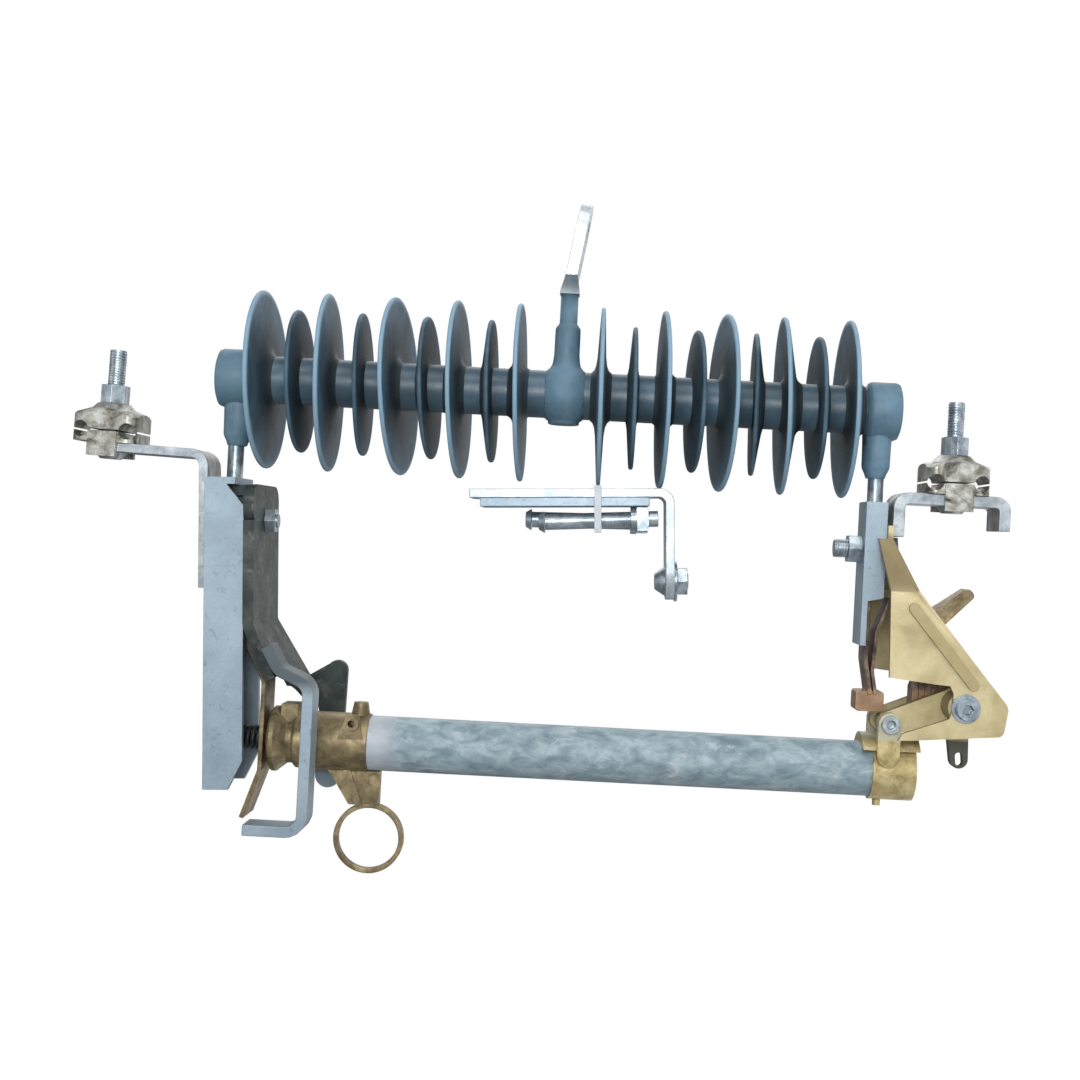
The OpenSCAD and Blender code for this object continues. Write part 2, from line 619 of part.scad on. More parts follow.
lower_bar_x = seat_x + 3;               // middle of the lower bar's flat top
lower_clamp_out = 44;                   // from the lower stud to the clamp's stud
clamp_z_low = -stud_z - lower_clamp_out;
lower_bar_tail = 27;                    // from the clamp's stud to the bar's turned-down end
bar_face = neck_z - cheek_t / 2 - lower_bar_t / 2;
module lower_terminal_bar() color("lightsteelblue") in_part_frame() difference() {
    strip([[neck_head - 6, bar_face], [lower_bar_x, bar_face],
        [lower_bar_x, clamp_z_low - lower_bar_tail],
        [lower_bar_x - 16, clamp_z_low - lower_bar_tail]], lower_bar_t, bar_w - 2, 5);
    rod_x(stud_d + 2 * fit, lower_bar_x - lower_bar_t, lower_bar_x + lower_bar_t, z = clamp_z_low);
}

module at_lower_clamp() in_part_frame()
    translate([lower_bar_x + lower_bar_t / 2, 0, clamp_z_low]) children();
module lower_clamp_saddle() color("tan") at_lower_clamp() clamp_saddle(lower_bar_t);
module lower_clamp_keeper() color("tan") at_lower_clamp() clamp_keeper();
module lower_clamp_bolt() color("gray") at_lower_clamp() clamp_bolt(lower_bar_t);
module lower_clamp_nut() color("silver") at_lower_clamp() clamp_nut();

hinge_nut_z = web_z + post_t;
module hinge_bolt() color("gray") in_part_frame() translate([hinge_bolt_x, 0, 0]) {
    rod_z(hinge_bolt_d, neck_z - cheek_t / 2 - 1, hinge_nut_z + 15.5);
    translate([0, 0, neck_z - cheek_t / 2 - 5]) prism_z(15, 6, 5);
}

module hinge_nut() color("gray") in_part_frame() translate([hinge_bolt_x, 0, hinge_nut_z])
    nut_z(15, 6, 8, hinge_bolt_d);

// copper block over the toggle, on two leaves; the outer leaf is clamped in the post
leaf_w = post_w - 2 * post_t - 1.6;
block_gap = 2;
block_foot = toggle_x + toggle_d / 2 + block_gap;
block = [block_foot + 5.75, toggle_z + 10];
module lower_contact() color("sienna") in_part_frame() difference() {
    union() {
        strip([[hinge_bolt_x + 8, web_z - contact_t / 2], [web_foot - 8, web_z - contact_t / 2],
            block + [4, 0]], contact_t, leaf_w, 12);
        strip([[post_foot, post_face - 5], [post_foot - 19, post_face + 2], block + [17, -0.5],
            block + [4, -3]], 2, leaf_w, 9);
        across(leaf_w - 2) translate(block) rotate(90) rounded_square(16, 11.5, 2);
    }
    rod_z(hinge_bolt_d + 2 * fit, web_z - 9, web_z + 1, x = hinge_bolt_x);
}

// tapered lug that stands square on the bracket's sloping back
module stop_lug() color("peru") in_part_frame() across(16)
    translate(heel + slope * 22) rotate(atan2(slope[1], slope[0]))
        polygon([[-5.5, touch], [5.5, touch], [3.2, 26], [1.5, 27.3], [-1.5, 27.3], [-3.2, 26]]);

pivot_head = 5;
washer_t = 1.5;
washer_d = 16;
module pivot_bolt() color("silver") in_part_frame() difference() {
    union() {
        rod_y(pivot_d, -bracket_half, bracket_half + 12, x = pivot_x, z = pivot_z);
        rod_y(washer_d, -bracket_half - washer_t, -bracket_half, x = pivot_x, z = pivot_z);
        rod_y(12, -bracket_half - washer_t - pivot_head, -bracket_half - washer_t,
            x = pivot_x, z = pivot_z);
    }
    translate([pivot_x, -bracket_half - washer_t - pivot_head + 3.5, pivot_z]) rotate([90, 0, 0])
        prism_z(5, 6, 5);
}

module pivot_nut() color("silver") in_part_frame() translate([pivot_x, bracket_half + 8, pivot_z])
    rotate([90, 0, 0]) difference() {
        union() {
            prism_z(15, 6, 8);
            translate([0, 0, 8 - washer_t]) cylinder(d = washer_d + 2, h = washer_t);
        }
        translate([0, 0, -1]) cylinder(d = pivot_d + 2 * fit, h = 10);
    }

// ---------- fuse holder ----------

module fuse_tube() color("lightslategray") in_part_frame() translate([tube_x, 0, 0]) difference() {
    rotate_extrude() polygon([[0, tube_foot], [tube_d / 2, tube_foot], [tube_d / 2, ferrule_foot],
        [spigot_d / 2, ferrule_foot], [spigot_d / 2, tube_head], [0, tube_head]]);
    rod_z(tube_bore, tube_foot - 1, tube_head + 1);
}

ring_x = tube_x - ring_reach;
ring_z = ferrule_foot - 2;
ring_out = ring_bore / 2 + ring_w;
ear = [tube_x + 12.5, ferrule_foot + 8.3];
module upper_ferrule() color("darkgoldenrod") in_part_frame() difference() {
    union() {
        rod_z(upper_ferrule_d, ferrule_foot, tube_head, x = tube_x);
        // arm that carries the pull ring, with a rib on each face
        across(8) polygon([[tube_x - spigot_d / 2 - 1, ferrule_foot + 24],
            [tube_x - upper_ferrule_d / 2 - 3, ferrule_foot + 20], [ring_x + 19, ring_z + 12],
            [ring_x + 19, ring_z - 5], [tube_x - tube_d / 2 - touch, ring_z - 5],
            [tube_x - tube_d / 2 - touch, ferrule_foot], [tube_x - spigot_d / 2 - 1, ferrule_foot]]);
        across(12) polygon([[tube_x - spigot_d / 2 - 1, ferrule_foot + 14],
            [ring_x + 16, ring_z + 6.5], [ring_x + 16, ring_z + 2.5],
            [tube_x - spigot_d / 2 - 1, ferrule_foot + 10]]);
        // ear with a cross hole, and the knob behind it
        across(5, -upper_ferrule_d / 2 + 2) polygon([ear + [4.5, -3], ear + [4.5, 3],
            [tube_x + 4, ferrule_foot + 16], [tube_x + 4, ferrule_foot + 2]]);
        rod_y(8, -upper_ferrule_d / 2 - 3, 0, x = ear[0], z = ear[1]);
        translate([tube_x + spigot_d / 2 + 1.5, 0, ferrule_foot + 6]) rotate([0, 90, 0])
            cylinder(d1 = 11, d2 = 8, h = 8);
    }
    rod_z(spigot_d + 2 * fit, ferrule_foot - 1, tube_head + 1, x = tube_x);
    rod_y(2 * ring_out + 0.1, -20, 20, x = ring_x, z = ring_z);
    rod_y(4, -upper_ferrule_d / 2 - 4, -spigot_d / 2 + 4, x = ear[0], z = ear[1]);
}

// stepped contact cap that flares to its contact face, with a guide lug towards the hooks
cap_flange_d = upper_ferrule_d + 4;
module contact_cap() color("goldenrod") in_part_frame() {
    translate([tube_x, 0, 0]) rotate_extrude() polygon([[0, tube_head],
        [upper_ferrule_d / 2 - 0.5, tube_head], [upper_ferrule_d / 2 - 0.5, tube_head + 9],
        [upper_ferrule_d / 2 - 2, tube_head + 10.5], [13.5, tube_head + 10.5], [13.5, cap_top - 12],
        [cap_flange_d / 2 - 1, cap_top - 7], [cap_flange_d / 2, cap_top - 6],
        [cap_flange_d / 2, cap_top - 3.5], [cap_flange_d / 2 - 2, cap_top - 2], [11, cap_top - 1.5],
        [9, cap_top], [0, cap_top]]);
    across(16) translate([tube_x, cap_top - 17.5]) square([20.6, 9.5]);
}

module pull_ring() color("goldenrod") in_part_frame() across(ring_t)
    translate([ring_x, ring_z]) difference() {
        circle(ring_out);
        circle(ring_bore / 2);
    }

// across the hinge: ejector, trunnion plates, then the lower ferrule's lugs
ejector_w = 14;
plate_t = 5;
plate_y = ejector_w / 2 + 1.5 + plate_t / 2;
lug_t = 5.5;
lug_y = plate_y + plate_t / 2 + 0.5 + lug_t / 2;
module lower_ferrule() color("goldenrod") in_part_frame() difference() {
    union() {
        rod_z(lower_ferrule_d, tube_foot, tube_foot + lower_ferrule_len, x = tube_x);
        intersection() {
            rod_z(2 * (saddle_out - tube_x), saddle_foot, tube_foot + lower_ferrule_len + 6, x = tube_x);
            translate([saddle_out - 8.4, -tube_d, saddle_foot]) cube([9, 2 * tube_d, 60]);
        }
        for (side = [-1, 1]) across(lug_t, side * lug_y)
            link([tube_x + 10, toggle_z], 6.3, [toggle_x, toggle_z], 6.3);
        rod_x(4.5, tube_x - lower_ferrule_d / 2 - 3.5, tube_x, z = toggle_z + 2);
    }
    rod_z(tube_d + 2 * fit, saddle_foot - 1, tube_head, x = tube_x);
    rod_y(toggle_d + 2 * fit, -60, 60, x = toggle_x, z = toggle_z);
}

eye = toe + [-30.5, -2.6];
module trunnion() color("darkkhaki") in_part_frame() difference() {
    union() {
        for (side = [-1, 1]) across(plate_t, side * plate_y)
            link([toggle_x, toggle_z], 6.5, toe, hub_d / 2 + 1);
        rod_y(hub_d, -cheek_gap / 2 + 0.4, cheek_gap / 2 - 0.4, x = pivot_x, z = pivot_z);
        across(plate_t, -plate_y) link(toe, 7, eye, 5.2);
    }
    rod_y(pivot_d + 2 * fit, -60, 60, x = pivot_x, z = pivot_z);
    rod_y(toggle_d + 2 * fit, -60, 60, x = toggle_x, z = toggle_z);
    across(3 * plate_t, -plate_y) link(eye + [1.8, 0.2], 2, eye - [1.8, 0.2], 2);
}

pin_head_d = 10;
pin_half = lug_y + lug_t / 2;
module toggle_pin() color("gray") in_part_frame() difference() {
    union() {
        rod_y(toggle_d, -pin_half, pin_half, x = toggle_x, z = toggle_z);
        for (side = [-1, 1])
            rod_y(pin_head_d, side * pin_half, side * (pin_half + 4), x = toggle_x, z = toggle_z);
    }
    rod_y(5, -pin_half - 5, -pin_half, x = toggle_x, z = toggle_z);
}

// ring on the hub with a ribbed paddle that stays clear of the lower ferrule
paddle_r = norm([saddle_out, saddle_foot] - toe) - 2;
module ejector_lever() color("saddlebrown") in_part_frame() difference() {
    union() {
        rod_y(hub_d + 7, -ejector_w / 2, ejector_w / 2, x = pivot_x, z = pivot_z);
        intersection() {
            rod_y(2 * paddle_r, -ejector_w / 2, ejector_w / 2, x = pivot_x, z = pivot_z);
            union() {
                across(ejector_w - 3) translate(toe + [-13, 6]) square([27, 18]);
                for (i = [0 : 4]) across(ejector_w) translate(toe + [-13, 8 + 3.6 * i])
                    square([27, 1.6]);
            }
        }
    }
    rod_y(hub_d + 2 * fit, -30, 30, x = pivot_x, z = pivot_z);
}

// ---------- bracket kit, lying loose in the loop of the cutout ----------

kit_corner = [-50.3, -67.5];
kit_turn = -3.1;
kit_hole_x = kit_short - 10.5;
kit_head_d = 12.5;
kit_bundle_x = kit_t + kit_strap_t + kit_head_d / 2 + 1.7;   // middle of the two long bolts
kit_bundle_z = 13;          // from the angle's corner to the ends of those bolts
kit_nut_h = 6.5;

// local frame: x away from the insulator along the short leg, z along the long leg
module in_kit_frame() in_part_frame() translate([kit_corner[0], 0, kit_corner[1]])
    rotate([0, kit_turn, 0]) children();

module kit_angle() color("silver") in_kit_frame() difference() {
    intersection() {
        strip([[-kit_t / 2, kit_long], [-kit_t / 2, kit_t / 2], [-kit_short, kit_t / 2]],
            kit_t, kit_w, 6);
        linear_extrude(2 * kit_long, center = true) {
            translate([kit_w / 2 - kit_short, -kit_w / 2]) square([kit_short, kit_w]);
            translate([kit_w / 2 - kit_short, 0]) circle(kit_w / 2);
        }
    }
    rod_z(kit_bolt_d + 1, -1, kit_t + 1, x = -kit_hole_x);
}

module kit_back_strap() color("slategray") in_kit_frame()
    translate([-kit_t - kit_strap_t, -kit_w / 2, 14]) cube([kit_strap_t, kit_w, kit_long - 20]);

// two carriage bolts side by side, crossed by a few degrees
kit_bolt_y = kit_bolt_d / 2 + 3;
kit_cross = 1.5;
kit_stagger = 4;
module at_kit_bolt(side) in_kit_frame()
    translate([-kit_bundle_x, side * kit_bolt_y, kit_bundle_z + kit_bolt_len / 2])
        rotate([0, side * kit_cross, 0]) translate([0, 0, side * kit_stagger]) children();

module kit_long_bolts() color("gray") for (side = [-1, 1]) at_kit_bolt(side) {
    rod_z(kit_bolt_d, -kit_bolt_len / 2, kit_bolt_len / 2);
    translate([0, 0, kit_bolt_len / 2]) cylinder(d1 = kit_head_d, d2 = kit_head_d - 4, h = 3.5);
}

// square nut and a thick washer on each long bolt
module kit_long_nuts() color("silver") for (side = [-1, 1]) at_kit_bolt(side)
    translate([0, 0, 1.5 - kit_bolt_len / 2 - kit_stagger * side]) {
        nut_z(13, 4, kit_nut_h, kit_bolt_d);
        translate([0, 0, kit_nut_h - 0.1]) difference() {
            cylinder(d = 14, h = 3.5);
            translate([0, 0, -1]) cylinder(d = kit_bolt_d + 2 * fit, h = 6);
        }
    }

// tie drawn round the kit; it rests on the angle's long leg
tie_t = 1.5;
tie_in = touch;
tie_out = -kit_bundle_x - kit_bolt_d / 2 - 0.6;
tie_w = 4;
module kit_tie() color("white") in_kit_frame() translate([0, 0, 41]) linear_extrude(tie_w) difference() {
    translate([tie_out - tie_t, -kit_w / 2 - tie_t - touch])
        square([tie_in - tie_out + 2 * tie_t, kit_w + 2 * (tie_t + touch)]);
    translate([tie_out, -kit_w / 2 - touch]) square([tie_in - tie_out, kit_w + 2 * touch]);
}

kit_washer_t = 1.8;
module kit_short_bolt() color("gray") in_kit_frame() translate([-kit_hole_x, 0, 0]) {
    rod_z(kit_bolt_d, -kit_washer_t - kit_nut_h, kit_t + 1);
    translate([0, 0, kit_t]) cylinder(d1 = 17, d2 = 9, h = 6);
}

module kit_short_nut() color("dimgray") in_kit_frame() translate([-kit_hole_x, 0, 0]) difference() {
    union() {
        translate([0, 0, -kit_washer_t]) cylinder(d = 23, h = kit_washer_t);
        translate([0, 0, -kit_washer_t - kit_nut_h + 0.6]) prism_z(15, 6, kit_nut_h);
    }
    translate([0, 0, -20]) cylinder(d = kit_bolt_d + 2 * fit, h = 30);
}

insulator_housing();
mounting_tang();
upper_stud();
lower_stud();
hood();
upper_terminal_bar();
upper_clamp_saddle();
upper_clamp_keeper();
upper_clamp_bolt();
upper_clamp_nut();
hood_bolt();
hook_strap();
front_hook();
rear_hook();
upper_contact();
contact_spring();
hinge_post();
hinge_bracket();
hinge_bolt();
hinge_nut();
lower_contact();
stop_lug();
pivot_bolt();
pivot_nut();
lower_terminal_bar();
lower_clamp_saddle();
lower_clamp_keeper();
lower_clamp_bolt();
lower_clamp_nut();
kit_angle();
kit_back_strap();
kit_long_bolts();
kit_long_nuts();
kit_tie();
kit_short_bolt();
kit_short_nut();
fuse_tube();
upper_ferrule();
contact_cap();
pull_ring();
lower_ferrule();
trunnion();
toggle_pin();
ejector_lever();
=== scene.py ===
# %% [markdown]
# # A drop-out fuse cutout
# This lesson dresses a CAD model of an expulsion fuse cutout. The CAD gives every part its true
# size and place, so nothing here is moved by eye: each piece starts from a CAD node or from
# positions read off its box. What is added is what a drawing leaves out: broken edges, screw
# threads, sheds that sag a little differently from one another, a real coil spring, and finishes.

# %% Load the CAD frame
import json
import math

import bmesh
import bpy
from mathutils import Matrix, Vector


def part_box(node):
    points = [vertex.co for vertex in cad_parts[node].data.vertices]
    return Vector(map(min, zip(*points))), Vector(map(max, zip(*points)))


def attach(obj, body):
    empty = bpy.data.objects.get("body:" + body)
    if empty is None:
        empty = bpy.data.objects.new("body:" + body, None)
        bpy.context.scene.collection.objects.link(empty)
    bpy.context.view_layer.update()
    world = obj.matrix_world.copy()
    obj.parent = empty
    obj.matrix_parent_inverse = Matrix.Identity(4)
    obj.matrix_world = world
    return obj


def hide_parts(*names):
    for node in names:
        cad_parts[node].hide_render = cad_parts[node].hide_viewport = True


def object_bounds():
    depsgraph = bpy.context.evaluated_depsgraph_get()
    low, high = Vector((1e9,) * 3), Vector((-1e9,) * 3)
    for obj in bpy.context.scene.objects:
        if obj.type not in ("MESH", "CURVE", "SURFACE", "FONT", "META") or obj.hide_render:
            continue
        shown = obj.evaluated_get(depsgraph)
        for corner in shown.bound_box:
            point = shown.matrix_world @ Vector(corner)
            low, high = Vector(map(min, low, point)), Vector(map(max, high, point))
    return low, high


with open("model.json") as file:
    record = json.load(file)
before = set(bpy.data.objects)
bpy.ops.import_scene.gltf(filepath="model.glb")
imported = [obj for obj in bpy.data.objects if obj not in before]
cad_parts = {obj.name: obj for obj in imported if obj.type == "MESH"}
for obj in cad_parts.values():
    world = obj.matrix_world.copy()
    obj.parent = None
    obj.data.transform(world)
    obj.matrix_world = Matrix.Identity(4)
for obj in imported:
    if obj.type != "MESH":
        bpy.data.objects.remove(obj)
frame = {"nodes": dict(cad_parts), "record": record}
cad_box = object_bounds()
MM = 0.001
record = frame["record"]
body_of_node = {node: body for body, nodes in record["behaviour"]["bodies"].items() for node in nodes}
slot_of_node = {part["node"]: part["material_slot"] for part in record["subparts"]}

# %% [markdown]
# The insulator's own axis is the handiest place to measure from, because the whole cutout hangs
# on it. Its middle is found from the box of the rubber housing: the large sheds reach as far to
# the front as they do to the side, and both ends are alike.

# %% Find the insulator's middle
def corners(node):
    """The lowest and the highest corner of a node's box."""
    return tuple(Vector(corner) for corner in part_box(node))


housing_low, housing_high = corners("insulator_housing")
shed_radius = housing_high.y
axis_middle = Vector((housing_low.x + shed_radius, 0, (housing_low.z + housing_high.z) / 2))


def place(x, y, z):
    """A point given in millimetres from the insulator's middle, in the frame's metres."""
    return axis_middle + Vector((x, y, z)) * MM


print("insulator middle:", [round(v, 4) for v in axis_middle])

# %% [markdown]
# A finish is a node tree, built by a few small helpers. The pattern always reads Object
# coordinates, which stay with the piece when it moves. A coarse noise spreads the shades, a fine
# one gives the grain, the gloss and the relief, and a ragged one lays on the stains. Values that
# don't vary, such as how metallic the surface is, are set on the shader itself.

# %% Helpers for node trees
def linear(red, green, blue):
    """An sRGB colour, 0 to 255, as the linear colour that shaders use."""
    def channel(value):
        value /= 255
        return value / 12.92 if value <= 0.04045 else ((value + 0.055) / 1.055) ** 2.4
    return (channel(red), channel(green), channel(blue), 1.0)


def add_node(tree, kind, inputs=(), **settings):
    """A node with its settings made and its inputs filled or linked."""
    node = tree.nodes.new(kind)
    for key, value in settings.items():
        setattr(node, key, value)
    for key, value in dict(inputs).items():
        if isinstance(value, bpy.types.NodeSocket):
            tree.links.new(value, node.inputs[key])
        else:
            node.inputs[key].default_value = value
    return node


def colour_ramp(tree, factor, stops):
    ramp = add_node(tree, "ShaderNodeValToRGB", {"Fac": factor})
    elements = ramp.color_ramp.elements
    while len(elements) < len(stops):
        elements.new(0.5)
    for element, (position, colour) in zip(elements, stops):
        element.position = position
        element.color = colour
    return ramp.outputs["Color"]


def mottle(tree, coordinates, scale, detail=5, roughness=0.6, distortion=0.0):
    noise = add_node(tree, "ShaderNodeTexNoise", {"Vector": coordinates, "Scale": scale, "Detail": detail,
                                                  "Roughness": roughness, "Distortion": distortion})
    return noise.outputs["Fac"]


def limits(tree, value, low, high, at_low, at_high):
    """A value spread out between two limits, and held at their levels beyond them."""
    spread = add_node(tree, "ShaderNodeMapRange", {"Value": value, "From Min": low, "From Max": high,
                                                   "To Min": at_low, "To Max": at_high})
    return spread.outputs["Result"]


def maths(tree, operation, *values):
    """The result of a sum, a product or the like on values and sockets."""
    return add_node(tree, "ShaderNodeMath", dict(enumerate(values)), operation=operation).outputs[0]


def blended(tree, share, below, over, blend_type="MIX"):
    """One colour laid over another by a share from 0 to 1."""
    mix = add_node(tree, "ShaderNodeMix", {0: share, 6: below, 7: over}, data_type="RGBA",
                   blend_type=blend_type)
    return mix.outputs[2]


print("node helpers ready")

# %% [markdown]
# Every finish of the cutout is made by one function, from a few shades and sizes. The noise lies
# mostly in the middle of its range, so the shades are set side by side over that stretch alone.

# %% How a finish is built
NOISE_LOW, NOISE_SPAN = 0.34, 0.32
GRAIN_LOW, GRAIN_HIGH = 0.3, 0.7


def stained(tree, coordinates, colour, stain_colour, share, size):
    """Ragged stains of one colour over another; share says how much they cover."""
    patches = mottle(tree, coordinates, 1000 / size, detail=6, roughness=0.65, distortion=1.0)
    mask = limits(tree, patches, 0.62 - share, 0.80 - share, 0.0, 1.0)
    return blended(tree, mask, colour, linear(*stain_colour))


def finish(name, shades, blotch, grain, metallic, gloss, relief, grain_mix=0.25, stain=None, shine=0.5):
    """A material: shades from dark to light, blotch and grain sizes in millimetres, gloss as the
    lowest and highest roughness, relief in millimetres, a stain as its colour, share and size, and
    how strongly the surface mirrors where it isn't metal."""
    material = bpy.data.materials.new(name)
    material.use_nodes = True
    tree = material.node_tree
    tree.nodes.clear()
    coordinates = add_node(tree, "ShaderNodeTexCoord").outputs["Object"]
    clouds = mottle(tree, coordinates, 1000 / blotch, distortion=0.4)
    fine = mottle(tree, coordinates, 1000 / grain, detail=3, roughness=0.7)
    places = [NOISE_LOW + NOISE_SPAN * i / (len(shades) - 1) for i in range(len(shades))]
    colour = colour_ramp(tree, clouds, list(zip(places, [linear(*shade) for shade in shades])))
    tone = colour_ramp(tree, fine, [(GRAIN_LOW, (0.55, 0.55, 0.55, 1)), (GRAIN_HIGH, (1, 1, 1, 1))])
    colour = blended(tree, grain_mix, colour, tone, "MULTIPLY")
    if stain:
        colour = stained(tree, coordinates, colour, *stain)
    rough = limits(tree, fine, GRAIN_LOW, GRAIN_HIGH, *gloss)
    bump = add_node(tree, "ShaderNodeBump", {"Height": fine, "Strength": 0.6, "Distance": relief * MM})
    shader = add_node(tree, "ShaderNodeBsdfPrincipled", {
        "Base Color": colour, "Metallic": metallic, "Roughness": rough,
        "Normal": bump.outputs["Normal"], "Specular IOR Level": shine})
    add_node(tree, "ShaderNodeOutputMaterial", {"Surface": shader.outputs["BSDF"]})
    return material


print("noise used from", NOISE_LOW, "to", NOISE_LOW + NOISE_SPAN)

# %% [markdown]
# The cutout carries quite different finishes side by side. Galvanised sheet is pale blue-grey with
# soft spangle. The hook strap is dark, partly as darkened zinc and partly as painted shade under the
# hood. The hinge is zinc passivated yellow, the ferrules are cast bronze that has browned, the clamp
# jaws tinned bronze, and the fuse tube is a grey varnish over wound glass fibre, so its mottle is
# drawn out along the tube.

# %% Make the finishes
rubber = finish("slate_rubber", [(86, 114, 131), (99, 130, 149), (112, 146, 167)], 26, 1.2, 0.0, (0.4, 0.6),
                0.03, 0.2, shine=0.35)
galvanised = finish("galvanised_sheet", [(142, 160, 173), (153, 171, 184), (164, 181, 193)], 34, 1.6,
                    0.5, (0.36, 0.55), 0.03, 0.3, stain=((96, 108, 116), 0.03, 4))
bright_zinc = finish("bright_zinc", [(168, 180, 188), (192, 203, 210), (212, 220, 225)], 12, 1.4, 0.5,
                     (0.32, 0.5), 0.03, 0.25, stain=((130, 138, 142), 0.0, 6))
# dark partly as darkened zinc and partly as painted shade, because the strap lies in the hood's shade
dark_zinc_and_shade = finish("darkened_zinc_and_painted_shade", [(34, 42, 43), (54, 63, 62), (80, 86, 82)], 16, 2.0, 0.5,
                    (0.42, 0.65), 0.05, 0.3, stain=((120, 116, 104), 0.04, 8))
plated = finish("plated_screws", [(120, 132, 142), (156, 168, 177), (190, 200, 207)], 7, 0.9, 0.7,
                (0.25, 0.45), 0.02, 0.3)
tinned = finish("tinned_jaws", [(112, 110, 100), (164, 164, 156), (206, 208, 204)], 9, 1.4, 0.6,
                (0.3, 0.5), 0.08, 0.3, stain=((56, 49, 34), 0.13, 11))
bronze = finish("cast_bronze", [(104, 92, 66), (138, 124, 94), (172, 156, 118)], 10, 1.5, 0.55,
                (0.35, 0.6), 0.08, 0.3, stain=((70, 58, 40), 0.05, 10))
brass = finish("cast_brass", [(146, 130, 86), (186, 169, 120), (216, 202, 156)], 9, 1.5, 0.55,
               (0.32, 0.55), 0.07, 0.3, stain=((112, 96, 64), 0.02, 9))
copper = finish("brown_copper", [(70, 58, 50), (108, 92, 80), (156, 136, 120)], 8, 1.2, 0.6, (0.3, 0.55),
                0.04, 0.3)
tie_plastic = finish("pale_tie", [(184, 194, 202), (200, 208, 214)], 12, 1.0, 0.0, (0.4, 0.5), 0.01, 0.1)
print("finishes:", [m.name for m in bpy.data.materials])

# %% The varnished fuse tube
def tube_finish():
    """Grey varnish with pale flecks, drawn out along the tube."""
    material = finish("varnished_fibre", [(112, 134, 145), (140, 161, 171), (168, 187, 195)], 7.5, 1.5,
                      0.0, (0.42, 0.62), 0.02, 0.3, stain=((188, 198, 202), 0.05, 9))
    tree = material.node_tree
    source = next(node for node in tree.nodes if node.type == "TEX_COORD").outputs["Object"]
    users = [link.to_socket for link in source.links]
    drawn = add_node(tree, "ShaderNodeMapping", {"Vector": source, "Scale": (1.0, 1.0, 0.6)})
    for socket in users:
        tree.links.new(drawn.outputs["Vector"], socket)
    return material


varnish = tube_finish()
print("varnish nodes:", len(varnish.node_tree.nodes))

# %% [markdown]
# Light doesn't fall evenly on a piece. Shade gathers in the folds and on faces turned from the lamps,
# while a sheared edge that faces them shows bright. So a second colour is laid over a finish where the
# shape says so, as painted shade, as a painted highlight or as a colour of the piece's own: by the place
# along one axis of the piece, or by the way in which a surface faces.

# %% Colours that follow the shape
def recoloured(material, over_colour, share):
    """Lays another colour over a finish, where a share from 0 to 1 says so."""
    tree = material.node_tree
    shader = next(node for node in tree.nodes if node.type == "BSDF_PRINCIPLED")
    below = shader.inputs["Base Color"].links[0].from_socket
    tree.links.new(blended(tree, share, below, linear(*over_colour)), shader.inputs["Base Color"])
    return material


def along(tree, axis, source="Object"):
    """The place along one axis of the piece or, from Normal, how much a surface faces along it."""
    vector = add_node(tree, "ShaderNodeTexCoord").outputs[source]
    return add_node(tree, "ShaderNodeSeparateXYZ", {"Vector": vector}).outputs[axis]


def either_side(tree, source):
    """The same, along Y and whatever the sign: Y is the width of every flat bar and cheek."""
    return maths(tree, "ABSOLUTE", along(tree, "Y", source))


def recoloured_along(material, axis, over_colour, low, high, at_low, at_high):
    """Lays a colour over a finish more or less from one place on an axis to another."""
    tree = material.node_tree
    return recoloured(material, over_colour, limits(tree, along(tree, axis), low, high, at_low, at_high))


def own_copy(material, name):
    copied = material.copy()
    copied.name = name
    return copied


print("colours can follow X, Y, Z and the way a face looks")

# %% Finishes for the sheds, the bars and the bracket
def shed_finish():
    """The rubber of the sheds, darker than the slate rubber from dust and from painted shade: brown-grey
    painted shade down by the shank, and a pale blue painted highlight on the rim.
    """
    material = finish("shed_rubber_painted_light", [(66, 90, 106), (82, 111, 130), (98, 131, 154)], 26, 1.2, 0.0,
                      (0.45, 0.65), 0.03, 0.2, shine=0.25)
    tree = material.node_tree
    share = add_node(tree, "ShaderNodeAttribute", attribute_name="rim_share").outputs["Fac"]
    # painted shade: brown-grey towards the shank, where the discs shade one another
    recoloured(material, (48, 56, 58), limits(tree, share, 0.3, 1.0, 0.9, 0.05))
    # painted highlight: pale blue on the rim, where it catches the light
    return recoloured(material, (138, 170, 192), limits(tree, share, 0.93, 0.985, 0.0, 0.8))


def bar_finish():
    """Flat bar cut from sheet: brown patches of painted shade on its broad faces, which turn side-on to the
    front lamps; its sheared edges keep the bright finish.
    """
    material = finish("bar_with_painted_shade", [(140, 150, 157), (168, 178, 185), (194, 203, 209)], 9, 1.4,
                      0.5, (0.32, 0.5), 0.03, 0.25, stain=((110, 112, 110), 0.06, 7))
    tree = material.node_tree
    patches = mottle(tree, add_node(tree, "ShaderNodeTexCoord").outputs["Object"], 90)
    # painted shade: brown, in patches, on faces turned side-on to the camera and the front lamps
    broad_face = limits(tree, either_side(tree, "Normal"), 0.35, 0.8, 0.85, 0.0)
    brown = maths(tree, "MULTIPLY", broad_face, limits(tree, patches, 0.35, 0.6, 0.0, 1.0))
    return recoloured(material, (92, 76, 60), brown)


